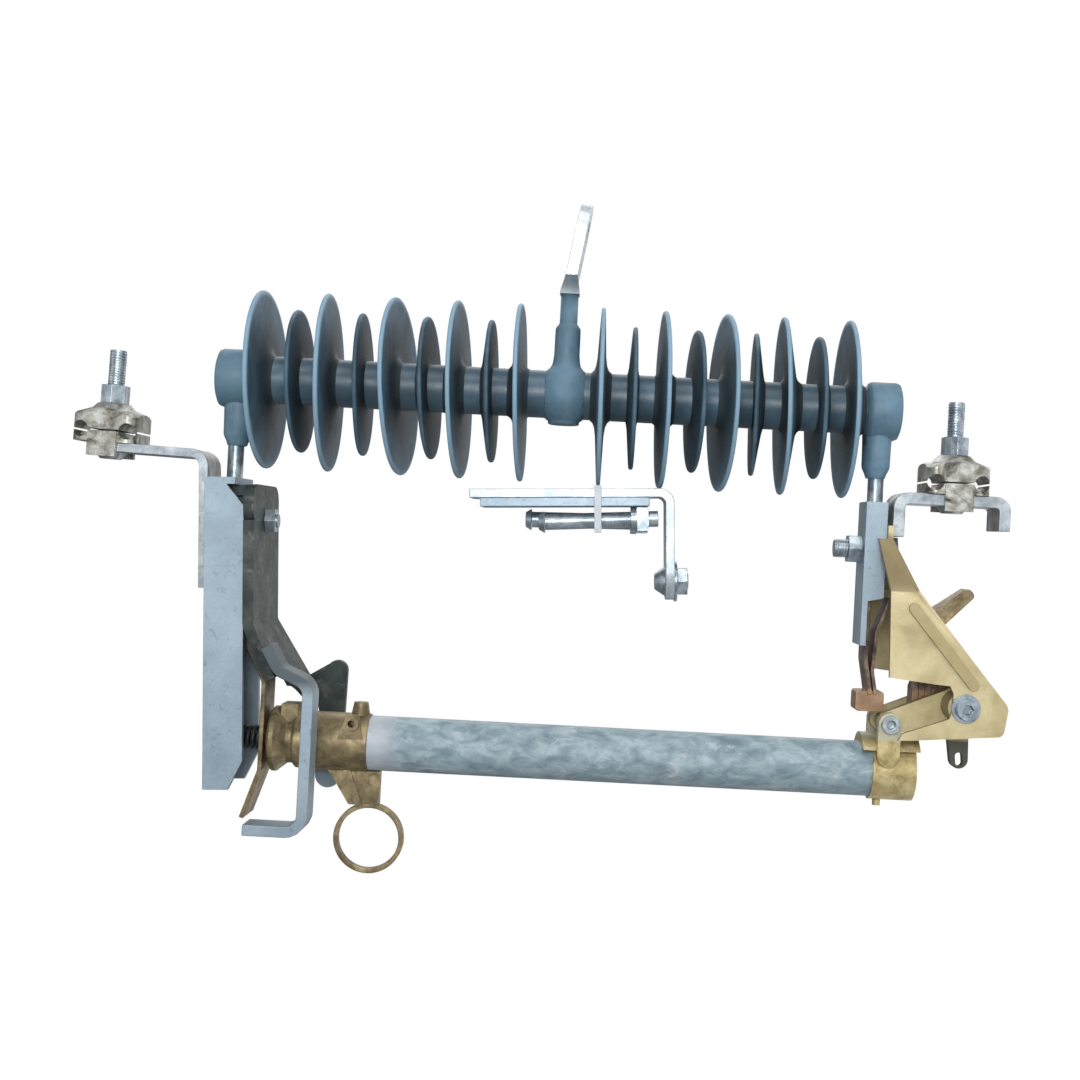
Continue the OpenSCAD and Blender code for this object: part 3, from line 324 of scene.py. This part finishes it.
def bracket_finish():
    """Yellow passivated zinc, with olive painted shade on the ribs and on every face that isn't flat along
    the cheeks. The eye on the trunnion's tail is black."""
    material = finish("yellow_passivated", [(174, 161, 120), (196, 183, 141), (210, 198, 158)], 22, 1.3,
                      0.45, (0.35, 0.55), 0.02, 0.2, stain=((176, 160, 140), 0.04, 12))
    tree = material.node_tree
    rib_side = corners("hinge_bracket")[1].y
    # painted shade: darker olive along the rib's crest
    rib_painted_shade = limits(tree, either_side(tree, "Object"), rib_side - 1.5 * MM, rib_side - 0.5 * MM, 0.0, 0.6)
    recoloured(material, (150, 136, 94), rib_painted_shade)
    # painted shade: darker olive on faces turned away from the camera and the front lamps
    turned_away_painted_shade = limits(tree, either_side(tree, "Normal"), 0.955, 0.995, 0.8, 0.0)
    recoloured(material, (112, 98, 68), turned_away_painted_shade)
    eye_top = corners("trunnion")[0].x + 16 * MM
    return recoloured_along(material, "X", (48, 52, 54), eye_top - MM, eye_top + MM, 0.9, 0.0)


yellow_zinc = bracket_finish()
# a darker copy of the rubber for the shank between the sheds: painted shade, as the sheds shade it
shank_rubber_painted_shade = finish("shank_rubber_painted_shade", [(58, 80, 93), (70, 96, 112), (84, 113, 131)], 26, 1.2, 0.0,
                      (0.3, 0.5), 0.02, 0.2, shine=0.5)
shed_rubber_painted_light = shed_finish()
bar_with_painted_shade = bar_finish()
print("worn by shape:", [m.name for m in (yellow_zinc, shed_rubber_painted_light, bar_with_painted_shade)])

# %% [markdown]
# A few places have painted shade, a painted highlight or a colour of their own. Each is found from the
# box of its CAD node, a stated number of millimetres from one end, so it stays in place if the part's
# sizes change.

# %% Painted shade, painted highlights and other places
# painted shade darkens the lap of the front hook and the top of the leaf, and the rear hook's tip is lighter
# blue-grey
hook_foot = corners("front_hook")[0].x
hook_shaded_lap = recoloured_along(own_copy(galvanised, "hook_with_grimy_lap"), "X", (60, 68, 70),
                              hook_foot + 76 * MM, hook_foot + 85 * MM, 0.0, 0.85)
# painted shade on the top of the upper contact leaf
leaf_top = corners("upper_contact")[1].x
leaf_shaded_top = recoloured_along(own_copy(bronze, "leaf_with_grimy_top"), "X", (50, 50, 44),
                              leaf_top - 26 * MM, leaf_top - 16 * MM, 0.0, 0.85)
# the rear hook is lighter blue-grey towards its tip
tip = corners("rear_hook")[0].x
strap_pale_tip = recoloured_along(own_copy(dark_zinc_and_shade, "strap_with_bare_tip"), "X", (150, 174, 186),
                            tip + 8 * MM, tip + 14 * MM, 0.6, 0.0)
# a pale painted highlight on the varnish where the tube enters its upper ferrule
ferrule_foot = corners("upper_ferrule")[0].z
recoloured_along(varnish, "Z", (196, 200, 208), ferrule_foot - 14 * MM, ferrule_foot, 0.0, 0.6)
# the saddle behind the lower ferrule is tinned, and the copper contact block gets a lighter tan painted
# highlight
saddle_front = corners("fuse_tube")[1].x + 2 * MM
recoloured_along(brass, "X", (186, 190, 174), saddle_front, saddle_front + 2 * MM, 0.0, 0.7)
block_back = corners("lower_contact")[0].x + 12 * MM
recoloured_along(copper, "X", (196, 156, 118), block_back, block_back + 2 * MM, 0.4, 0.0)
print("places:", [m.name for m in (hook_shaded_lap, leaf_shaded_top, strap_pale_tip)], "and three more")

# %% Which finish goes where
finish_of_slot = {"rubber": rubber, "galvanised": galvanised, "dark_galvanised": dark_zinc_and_shade,
                  "plated_steel": plated, "tinned_bronze": tinned, "yellow_zinc": yellow_zinc,
                  "bronze": bronze, "brass": brass, "copper": copper, "fibreglass": varnish,
                  "tie": tie_plastic}
finish_of_node = {"mounting_tang": bright_zinc, "kit_angle": bright_zinc,
                  "upper_terminal_bar": bar_with_painted_shade, "lower_terminal_bar": bar_with_painted_shade,
                  "upper_contact": leaf_shaded_top, "front_hook": hook_shaded_lap, "rear_hook": strap_pale_tip}
print("slots:", len(finish_of_slot), "nodes with a finish of their own:", len(finish_of_node))

# %% [markdown]
# No real edge is perfectly sharp. Sheet steel has a burr that was knocked off, and a casting has
# a radius. A copy of each CAD node is merged, its flat faces are joined again, and a Bevel with
# hardened normals breaks the edges, so that they catch the light as the real ones do.

# %% Break the edges of the CAD parts
def settle(piece, material, body, slot, *nodes):
    """Gives a finished piece its material and its body, and hides the nodes it stands for; the slot is not
    used.
    """
    piece.data.materials.clear()
    piece.data.materials.append(material)
    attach(piece, body)
    if nodes:
        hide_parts(*nodes)
    return piece


def plain_mesh(name, source):
    """The evaluated form of an object, as a new object at the origin with no modifiers."""
    graph = bpy.context.evaluated_depsgraph_get()
    mesh = bpy.data.meshes.new_from_object(source.evaluated_get(graph), preserve_all_data_layers=True,
                                           depsgraph=graph)
    mesh.name = name
    piece = bpy.data.objects.new(name, mesh)
    bpy.context.scene.collection.objects.link(piece)
    return piece


SHARP = math.radians(31)        # corners turned by more than this are edges, not curves
FLAT = math.radians(0.6)        # faces turned by less than this are one face


def broken_edges(node, edge):
    """A copy of a CAD node, edge millimetres of every sharp corner taken off."""
    mesh = frame["nodes"][node].data.copy()
    work = bmesh.new()
    work.from_mesh(mesh)
    bmesh.ops.remove_doubles(work, verts=work.verts, dist=2e-6)
    bmesh.ops.dissolve_limit(work, angle_limit=FLAT, verts=work.verts, edges=work.edges)
    for face in work.faces:
        face.smooth = True
    for line in work.edges:
        line.smooth = not (len(line.link_faces) == 2 and line.calc_face_angle(0) > SHARP)
    work.to_mesh(mesh)
    work.free()
    draft = bpy.data.objects.new("draft", mesh)
    bpy.context.scene.collection.objects.link(draft)
    bevel = draft.modifiers.new("edge", "BEVEL")
    bevel.width = edge * MM
    bevel.segments = 2
    bevel.limit_method = "ANGLE"
    bevel.angle_limit = SHARP
    bevel.harden_normals = True
    piece = plain_mesh(node + "_piece", draft)
    bpy.data.objects.remove(draft)
    return piece


edge_of_slot = {"galvanised": 0.5, "dark_galvanised": 0.6, "plated_steel": 0.35, "tinned_bronze": 0.8,
                "yellow_zinc": 0.35, "bronze": 0.6, "brass": 0.6, "copper": 0.35, "fibreglass": 0.4,
                "tie": 0.25}
made_otherwise = {"insulator_housing", "contact_spring"}
for node, slot in slot_of_node.items():
    if node in made_otherwise:
        continue
    material = finish_of_node.get(node, finish_of_slot[slot])
    settle(broken_edges(node, edge_of_slot[slot]), material, body_of_node[node], slot, node)
print("dressed nodes:", len(slot_of_node) - len(made_otherwise))

# %% [markdown]
# The sheds are the part's main rule: discs of two sizes, set on a rod at an even pitch, large and
# small by turns. They are soft rubber, so no two stand alike: each leans a few degrees and its
# rim has crept a few millimetres along the rod. Points carry the place, size, lean and creep of
# each disc, and Geometry Nodes sets a moulded disc on every point.

# %% A turned shape from its half section
def ring(work, radius, height, steps):
    """The points of one ring about Z, or a single point where the radius is nothing."""
    if radius < 1e-6:
        return [work.verts.new((0, 0, height * MM))]
    return [work.verts.new((radius * MM * math.cos(2 * math.pi * i / steps),
                            radius * MM * math.sin(2 * math.pi * i / steps), height * MM))
            for i in range(steps)]


def turned(name, section, steps):
    """A solid of revolution about Z from (radius, height) pairs in millimetres."""
    work = bmesh.new()
    rings = [ring(work, radius, height, steps) for radius, height in section]
    for low, high in zip(rings, rings[1:]):
        for i in range(steps):
            j = (i + 1) % steps
            points = [low[i % len(low)], low[j % len(low)], high[j % len(high)], high[i % len(high)]]
            points = list(dict.fromkeys(points))
            if len(points) > 2:
                work.faces.new(points)
    bmesh.ops.recalc_face_normals(work, faces=work.faces)
    mesh = bpy.data.meshes.new(name)
    for face in work.faces:
        face.smooth = True
    work.to_mesh(mesh)
    work.free()
    return mesh


print("ready to turn shapes about Z")

# %% The moulded disc
shank_radius = 13.5
large_radius = shed_radius / MM
shed_count = 18
first_shed, shed_pitch = 23.5, 18.0
rim = 1.3


def disc_section():
    """Half section of one large shed, rounded at the rim and flared into the shank."""
    flare = [(shank_radius - 0.6, 7.0), (shank_radius + 0.2, 5.6), (shank_radius + 1.5, 4.2),
             (shank_radius + 4.0, 3.2), (shank_radius + 9.0, 2.5), (large_radius - 3.0, rim)]
    edge = [(large_radius - rim + rim * math.cos(a), rim * math.sin(a))
            for a in (math.radians(d) for d in (60, 30, 0, -30, -60))]
    return flare + edge + [(r, -h) for r, h in reversed(flare)]


disc_mesh = turned("disc", disc_section(), 112)
disc_mould = bpy.data.objects.new("disc_mould", disc_mesh)
bpy.context.scene.collection.objects.link(disc_mould)
print("disc faces:", len(disc_mesh.polygons))

# %% [markdown]
# Each disc's habits stand in one list, from the hood's end to the hinge's end. The first two
# numbers are how far it leans, the third how far its rim has crept along the rod.

# %% Points for the discs
small_share = 40.5 / 50.5       # radius of a small disc as a share of a large one's
# nod and roll in degrees, creep of the rim in millimetres
disc_habits = [(-1.2, -2.4, -0.1), (-0.3, -2.8, -2.8), (1.2, -1.6, -0.1), (1.4, -2.1, -2.4),
               (-4.8, -3.3, -4.0), (-2.4, -3.2, -5.6), (-2.5, -2.4, -2.4), (-0.6, -2, -4.4),
               (-0.6, -2, -1.3), (0, -1, -0.2), (0.4, -1, -0.8), (1.9, -1, 0.8), (4.2, -0.7, 0.7),
               (5.0, -0.6, 2.4), (-3.2, -0.8, 4.4), (-1.6, -1.9, 4.7), (0.2, -1.0, 5.0),
               (-0.6, -0.6, 4.6)]


def disc_points():
    """One point for each disc, with its lean in radians, its creep and its size."""
    mesh = bpy.data.meshes.new("disc_points")
    places, leans, creeps, shares = [], [], [], []
    for i, (nod, roll_angle, creep) in enumerate(disc_habits):
        step = (shed_count - 1) / 2 - i
        order = abs(step) - 0.5
        places.append((0, 0, math.copysign(first_shed + order * shed_pitch, step) * MM))
        leans += (math.radians(nod), math.radians(roll_angle), 0.0)
        creeps.append(creep * MM)
        shares.append(1.0 if round(order) % 2 == 0 else small_share)
    mesh.from_pydata(places, [], [])
    mesh.attributes.new("lean", "FLOAT_VECTOR", "POINT").data.foreach_set("vector", leans)
    mesh.attributes.new("creep", "FLOAT", "POINT").data.foreach_set("value", creeps)
    mesh.attributes.new("share", "FLOAT", "POINT").data.foreach_set("value", shares)
    return mesh


print("discs with habits:", len(disc_habits))

# %% [markdown]
# A Geometry Nodes tree is a rule with named inputs. The inputs are set before the tree is first
# worked out, and its result is then kept as a plain mesh, so nothing is left to change later.

# %% Helpers for Geometry Nodes
def new_rule(name, **inputs):
    """An empty Geometry Nodes tree with a Geometry input, named inputs and one output."""
    tree = bpy.data.node_groups.new(name, "GeometryNodeTree")
    tree.interface.new_socket("Geometry", in_out="INPUT", socket_type="NodeSocketGeometry")
    for label, (kind, value) in inputs.items():
        socket = tree.interface.new_socket(label, in_out="INPUT", socket_type="NodeSocket" + kind)
        if value is not None:
            socket.default_value = value
    tree.interface.new_socket("Geometry", in_out="OUTPUT", socket_type="NodeSocketGeometry")
    return tree, tree.nodes.new("NodeGroupInput").outputs


def close_rule(tree, geometry, material):
    """Ends a tree in Realize Instances and Set Material."""
    real = add_node(tree, "GeometryNodeRealizeInstances", {"Geometry": geometry})
    painted = add_node(tree, "GeometryNodeSetMaterial", {"Geometry": real.outputs[0], "Material": material})
    add_node(tree, "NodeGroupOutput", {"Geometry": painted.outputs[0]})


def follow_rule(name, tree, start, **values):
    """The plain mesh that a tree makes of a start mesh with the given input values."""
    draft = bpy.data.objects.new("draft", start)
    bpy.context.scene.collection.objects.link(draft)
    rule = draft.modifiers.new("rule", "NODES")
    rule.node_group = tree
    for item in tree.interface.items_tree:
        if item.in_out == "INPUT" and item.name in values:
            rule[item.identifier] = values[item.name]
    piece = plain_mesh(name, draft)
    bpy.data.objects.remove(draft)
    return piece


def carried(tree, name, kind="FLOAT"):
    """What the points carry under a name."""
    return add_node(tree, "GeometryNodeInputNamedAttribute", {"Name": name}, data_type=kind).outputs[0]


print("rules can be drawn up and followed")

# %% [markdown]
# The rule for the sheds has two halves. The first sets a disc on every point, leaning and sized
# as the point says. The second bends each disc: the rim creeps by the full amount, the root not
# at all, and a faint ripple runs over the rubber.

# %% The rule for the sheds: a disc on every point
shed_rule, given = new_rule("shed_rule", Disc=("Object", None), Middle=("Vector", (0, 0, 0)),
                            Reach=("Float", 0.05), Ripple=("Float", 0.5 * MM))
share = carried(shed_rule, "share")
size = add_node(shed_rule, "ShaderNodeCombineXYZ", {"X": share, "Y": share, "Z": 1.0})
mould = add_node(shed_rule, "GeometryNodeObjectInfo", {"Object": given["Disc"]})
discs = add_node(shed_rule, "GeometryNodeInstanceOnPoints",
                 {"Points": given["Geometry"], "Instance": mould.outputs["Geometry"],
                  "Rotation": carried(shed_rule, "lean", "FLOAT_VECTOR"), "Scale": size.outputs[0]})
loose = add_node(shed_rule, "GeometryNodeRealizeInstances", {"Geometry": discs.outputs[0]})
print("first half of the rule:", len(shed_rule.nodes), "nodes")

# %% The rule for the sheds: creep and ripple
position = add_node(shed_rule, "GeometryNodeInputPosition").outputs[0]
place_on_disc = add_node(shed_rule, "ShaderNodeSeparateXYZ", {"Vector": position})
flat = add_node(shed_rule, "ShaderNodeCombineXYZ",
                {"X": place_on_disc.outputs["X"], "Y": place_on_disc.outputs["Y"]})
radius = add_node(shed_rule, "ShaderNodeVectorMath", {0: flat.outputs[0]}, operation="LENGTH")
radius_share = maths(shed_rule, "DIVIDE", radius.outputs["Value"], given["Reach"])
bend = maths(shed_rule, "POWER", radius_share, 2.0)
creeping = maths(shed_rule, "MULTIPLY", bend, carried(shed_rule, "creep"))
wave = add_node(shed_rule, "ShaderNodeTexNoise", {"Scale": 14.0, "Detail": 1.0}).outputs["Fac"]
ripple = maths(shed_rule, "MULTIPLY", limits(shed_rule, wave, 0.0, 1.0, -1.0, 1.0), given["Ripple"])
offset = add_node(shed_rule, "ShaderNodeCombineXYZ", {"Z": maths(shed_rule, "ADD", ripple, creeping)})
# the radius share is kept for the painted shade and the painted rim highlight of the shed rubber
marked = add_node(shed_rule, "GeometryNodeStoreNamedAttribute",
                  {"Geometry": loose.outputs[0], "Name": "rim_share", "Value": radius_share})
rippled = add_node(shed_rule, "GeometryNodeSetPosition",
                   {"Geometry": marked.outputs[0], "Offset": offset.outputs[0]})
moved = add_node(shed_rule, "GeometryNodeTransform",
                 {"Geometry": rippled.outputs[0], "Translation": given["Middle"]})
close_rule(shed_rule, moved.outputs[0], shed_rubber_painted_light)
print("whole rule:", len(shed_rule.nodes), "nodes")

# %% Mould the sheds
sheds = follow_rule("insulator_sheds", shed_rule, disc_points(), Disc=disc_mould, Middle=tuple(axis_middle),
                    Reach=shed_radius)
bpy.data.objects.remove(disc_mould)
settle(sheds, shed_rubber_painted_light, "mount", "rubber", "insulator_housing")
print("sheds:", shed_count, "triangles about", len(sheds.data.polygons) * 2)

# %% [markdown]
# What is left of the housing is turned: the shank with its end bosses, the legs that hold the
# studs, and the round centre body with the neck. They overlap as one moulding does.

# %% The moulded core
def moved_mesh(mesh, matrix):
    mesh.transform(matrix)
    return mesh


def joined(name, meshes):
    """Several meshes as one object at the origin."""
    work = bmesh.new()
    for mesh in meshes:
        work.from_mesh(mesh)
    result = bpy.data.meshes.new(name)
    work.to_mesh(result)
    work.free()
    piece = bpy.data.objects.new(name, result)
    bpy.context.scene.collection.objects.link(piece)
    return piece


print("ready to join moulded shapes")

# %% Half sections of the core, in millimetres
end = (housing_high.z - housing_low.z) / 2 / MM
boss_radius, boss_length = 16.5, 18.5
ball_radius = 17.5
boss_end = boss_length - end
shank_section = [(0, -end), (boss_radius - 2.5, -end), (boss_radius - 0.7, -end + 0.7),
                 (boss_radius, -end + 2.5), (boss_radius, boss_end - 2), (boss_radius - 0.8, boss_end - 0.5),
                 (shank_radius + 0.6, boss_end + 0.5), (shank_radius, boss_end + 1.5)]
shank_section += [(r, -z) for r, z in reversed(shank_section)]
leg_section = [(0, 0), (9, 0), (8.2, 20), (8, 31.5), (7.6, 33.2), (6.2, 36), (5.6, 38.0), (5.0, 38.5),
               (0, 38.5)]
body_section = [(0, -17), (7.9, -17), (8.8, -16.6), (8.9, -15.2)]
body_section += [(ball_radius * math.cos(a), ball_radius * math.sin(a))
                 for a in (math.radians(degrees) for degrees in range(-56, 62, 8))]
body_section += [(8.2, 16.6), (7.6, 19.5), (7.25, 23), (7.2, 37.2), (6.9, 38.2), (5.4, 40.2), (5.05, 41),
                 (5.05, 57), (0, 57)]
print("core length:", round(2 * end, 1))

# %% Turn the core and set it together
stud_low, stud_high = corners("upper_stud")
leg_level = ((stud_low.z + stud_high.z) / 2 - axis_middle.z) / MM
forward = Matrix.Rotation(math.radians(-90), 4, "Y")
backward = Matrix.Rotation(math.radians(90), 4, "Y")
ball_place = Matrix.Translation(place(0, 0, -3))
core_parts = [moved_mesh(turned("shank", shank_section, 64), Matrix.Translation(axis_middle)),
              moved_mesh(turned("centre", body_section, 64), ball_place @ backward)]
for side in (-1, 1):
    core_parts.append(moved_mesh(turned("leg", leg_section, 48),
                                 Matrix.Translation(place(0, 0, side * leg_level)) @ forward))
core = joined("insulator_core", core_parts)
settle(core, rubber, "mount", "rubber", "insulator_housing")
# the shank faces between the bosses take the darker rubber, painted shade from the sheds
core.data.materials.append(shank_rubber_painted_shade)
for face in core.data.polygons:
    face.use_smooth = True
    off_axis = (face.center - axis_middle) * Vector((1, 1, 0))
    between_bosses = abs(face.center.z - axis_middle.z) < (end - boss_length) * MM
    face.material_index = int(off_axis.length < (shank_radius + 0.3) * MM and between_bosses)
print("core faces:", len(core.data.polygons), "stud level:", round(leg_level, 2))

# %% [markdown]
# A screw thread and a coil spring are the same rule: a wire of some section wound round a
# straight line. One tree winds both. A thread is a coarse four-sided wire sunk in its shank, and
# a spring is a round one.

# %% The rule for threads and springs
winding_rule, given = new_rule("winding_rule", Turns=("Float", 8.0), Radius=("Float", 4.0 * MM),
                               Length=("Float", 10.0 * MM), Wire=("Float", 0.4 * MM), Sides=("Int", 4),
                               Steps=("Int", 24), Start=("Vector", (0, 0, 0)), Turned=("Vector", (0, 0, 0)))
helix = add_node(winding_rule, "GeometryNodeCurveSpiral",
                 {"Resolution": given["Steps"], "Rotations": given["Turns"], "Start Radius": given["Radius"],
                  "End Radius": given["Radius"], "Height": given["Length"]})
wire = add_node(winding_rule, "GeometryNodeCurvePrimitiveCircle",
                {"Resolution": given["Sides"], "Radius": given["Wire"]}, mode="RADIUS")
wound = add_node(winding_rule, "GeometryNodeCurveToMesh",
                 {"Curve": helix.outputs[0], "Profile Curve": wire.outputs[0], "Fill Caps": True})
set_round = add_node(winding_rule, "GeometryNodeSetShadeSmooth", {"Geometry": wound.outputs[0]})
in_place = add_node(winding_rule, "GeometryNodeTransform",
                    {"Geometry": set_round.outputs[0], "Translation": given["Start"],
                     "Rotation": given["Turned"]})
close_rule(winding_rule, in_place.outputs[0], plated)


def wind(name, start, turned_by, radius, length, pitch, wire_radius, sides, steps):
    """A wire wound from a start in metres; radius, length, pitch and wire in millimetres."""
    return follow_rule(name, winding_rule, bpy.data.meshes.new("start"), Turns=length / pitch,
                       Radius=radius * MM, Length=length * MM, Wire=wire_radius * MM, Sides=sides,
                       Steps=steps, Start=tuple(start), Turned=turned_by)


print("winding rule:", len(winding_rule.nodes), "nodes")

# %% Wind the contact spring
ALONG_X, ALONG_Y, ALONG_Z = (0, math.radians(90), 0), (math.radians(-90), 0, 0), (0, 0, 0)
spring_low, spring_high = corners("contact_spring")
spring_wire, spring_pitch = 1.2, 3.0
spring_radius = (spring_high.x - spring_low.x) / 2 / MM - spring_wire
spring_length = (spring_high.z - spring_low.z) / MM - 2 * spring_wire
spring_start = ((spring_low.x + spring_high.x) / 2, 0, spring_low.z + spring_wire * MM)
coil = wind("contact_spring_coil", spring_start, ALONG_Z, spring_radius, spring_length, spring_pitch,
            spring_wire, 10, 28)
# painted shade: the plated coil takes the dark strap finish, because it sits in the shade between the hood
# and the strap
settle(coil, dark_zinc_and_shade, "mount", "plated_steel", "contact_spring")
print("spring length:", round(spring_length, 1))

# %% [markdown]
# The studs and bolts get their threads where the thread shows. Each thread follows the box of
# its CAD bolt, so it ends where the bolt ends.

# %% Cut the threads
thread_wire, thread_sink = 0.5, 0.12
clamp_stud_radius, bolt_radius = 4.5, 5.0


def thread(name, start, turned_by, radius, length, pitch=1.5):
    """A four-sided wire sunk in a shank of the given radius, all but its crest, in millimetres."""
    piece = wind(name, start, turned_by, radius - thread_sink, length, pitch, thread_wire, 4, 20)
    return settle(piece, plated, "mount", "plated_steel")


for end_name, tilt in (("upper", math.radians(1.5)), ("lower", 0.0)):
    low, high = corners(end_name + "_clamp_bolt")
    nut_low, nut_high = corners(end_name + "_clamp_nut")
    middle_z = (nut_low.z + nut_high.z) / 2
    free_end = (high.x - nut_high.x) / MM - 0.6
    thread(end_name + "_clamp_thread", (nut_high.x, 0, middle_z - tilt * 5 * MM),
           (0, ALONG_X[1] + tilt, 0), clamp_stud_radius, free_end)
low, high = corners("hinge_bolt")
nut_low, nut_high = corners("hinge_nut")
thread("hinge_bolt_thread", ((low.x + high.x) / 2, 0, nut_high.z), ALONG_Z, bolt_radius,
       (high.z - nut_high.z) / MM - 0.5, pitch=1.25)
low, high = corners("pivot_bolt")
thread("pivot_bolt_thread", ((low.x + high.x) / 2, high.y - 4 * MM, (low.z + high.z) / 2), ALONG_Y,
       bolt_radius, 3.6)

# %% [markdown]
# The cutout is shown over a plain pale floor, low enough for the fuse tube to hang open above it.
# The floor glows a little to the camera and in polished metal, so it shows white, but it keeps
# the soft shadow. How far the tube hangs down is read from the joint that it swings on.

# %% Floor
def only_for(tree, *rays):
    """One for a ray of any of these kinds, nothing for the others."""
    paths = add_node(tree, "ShaderNodeLightPath")
    seen = paths.outputs[rays[0]]
    for ray in rays[1:]:
        seen = maths(tree, "MAXIMUM", seen, paths.outputs[ray])
    return seen


def floor_finish(glow_share=0.75, glow_strength=1.28):
    material = bpy.data.materials.new("pale_floor")
    material.use_nodes = True
    tree = material.node_tree
    tree.nodes.clear()
    seen = only_for(tree, "Is Camera Ray", "Is Glossy Ray", "Is Transmission Ray")
    share_of_glow = maths(tree, "MULTIPLY", seen, glow_share)
    matte = add_node(tree, "ShaderNodeBsdfDiffuse", {"Color": (0.86, 0.86, 0.86, 1)}).outputs[0]
    glow = add_node(tree, "ShaderNodeEmission", {"Color": (1, 1, 1, 1), "Strength": glow_strength})
    mix = add_node(tree, "ShaderNodeMixShader", {0: share_of_glow, 1: matte, 2: glow.outputs[0]})
    add_node(tree, "ShaderNodeOutputMaterial", {"Surface": mix.outputs[0]})
    return material


def pale_floor(centre, level, half=4.0):
    """A square floor, half its width to each side of the centre, at a level in metres."""
    mesh = bpy.data.meshes.new("floor")
    mesh.from_pydata([(centre.x + sx * half, centre.y + sy * half, level) for sx, sy in
                      ((-1, -1), (1, -1), (1, 1), (-1, 1))], [], [(0, 1, 2, 3)])
    floor = bpy.data.objects.new("floor", mesh)
    bpy.context.scene.collection.objects.link(floor)
    mesh.materials.append(floor_finish())


stage_centre = (Vector(cad_box[0]) + Vector(cad_box[1])) / 2
swing = next(joint for joint in record["behaviour"]["joints"] if joint["name"] == "holder_drop_out")
pivot_level = swing["pos_m"][2]
hanging_reach = corners("contact_cap")[1].z - pivot_level
floor_clearance = 0.03
floor_level = pivot_level - hanging_reach - floor_clearance
pale_floor(stage_centre, floor_level)
print("floor level:", round(floor_level, 3))

# %% [markdown]
# The surround is white where the camera looks at it, and dim where it lights the cutout.

# %% Surround
def white_surround(dim_strength=0.26):
    world = bpy.data.worlds.new("white_surround")
    bpy.context.scene.world = world
    world.use_nodes = True
    tree = world.node_tree
    tree.nodes.clear()
    seen = only_for(tree, "Is Camera Ray", "Is Transmission Ray")
    dim = add_node(tree, "ShaderNodeBackground", {"Color": (1, 1, 1, 1), "Strength": dim_strength})
    white = add_node(tree, "ShaderNodeBackground", {"Color": (1, 1, 1, 1), "Strength": 1.0})
    mix = add_node(tree, "ShaderNodeMixShader", {0: seen, 1: dim.outputs[0], 2: white.outputs[0]})
    add_node(tree, "ShaderNodeOutputWorld", {"Surface": mix.outputs[0]})
    return world


print("surround:", white_surround().name)

# %% [markdown]
# Four large square lamps light the cutout from the front, the side, above and behind. They are
# wide for their distance, so that no highlight is harsh.

# %% Lamps
def soft_lamp(name, offset, watts, width):
    """A square lamp that faces the object's middle from an offset in metres."""
    data = bpy.data.lights.new(name, "AREA")
    data.energy = watts
    data.size = width
    lamp = bpy.data.objects.new(name, data)
    lamp.location = stage_centre + Vector(offset)
    lamp.rotation_euler = (-Vector(offset)).to_track_quat("-Z", "Y").to_euler()
    lamp.visible_camera = False
    bpy.context.scene.collection.objects.link(lamp)


soft_lamp("key_lamp", (0.3, -1.4, 0.1), 12.5, 0.6)
soft_lamp("side_lamp", (1.1, -0.6, -0.1), 4.5, 0.6)
soft_lamp("top_lamp", (0.1, -0.5, 1.3), 3, 0.9)
soft_lamp("back_lamp", (0.9, 1.1, 0.2), 8, 1.2)
print("lamps:", [lamp.name for lamp in bpy.data.lights])

# %% [markdown]
# The camera stands square to the cutout's plane of symmetry, about 0.86 m off, level with its
# middle, and rolled so that the insulator lies along the upper half of the view.

# %% Camera
camera_data = bpy.data.cameras.new("camera")
camera_data.sensor_width = 36.0
camera_data.lens = 50.29
camera_data.shift_x = -0.0556
camera = bpy.data.objects.new("camera", camera_data)
bpy.context.scene.collection.objects.link(camera)
camera_roll = math.radians(2.95)
camera_distance = 860
right = Vector((math.sin(camera_roll), 0, -math.cos(camera_roll)))
up = Vector((math.cos(camera_roll), 0, math.sin(camera_roll)))
back = Vector((0, -1, 0))
stand = place(-81.35, -camera_distance, -27.3)
camera.matrix_world = Matrix(((right.x, up.x, back.x, stand.x), (right.y, up.y, back.y, stand.y),
                              (right.z, up.z, back.z, stand.z), (0, 0, 0, 1)))
bpy.context.scene.camera = camera
bpy.context.scene.view_settings.view_transform = "Standard"
print("camera stands at", [round(v, 3) for v in stand])
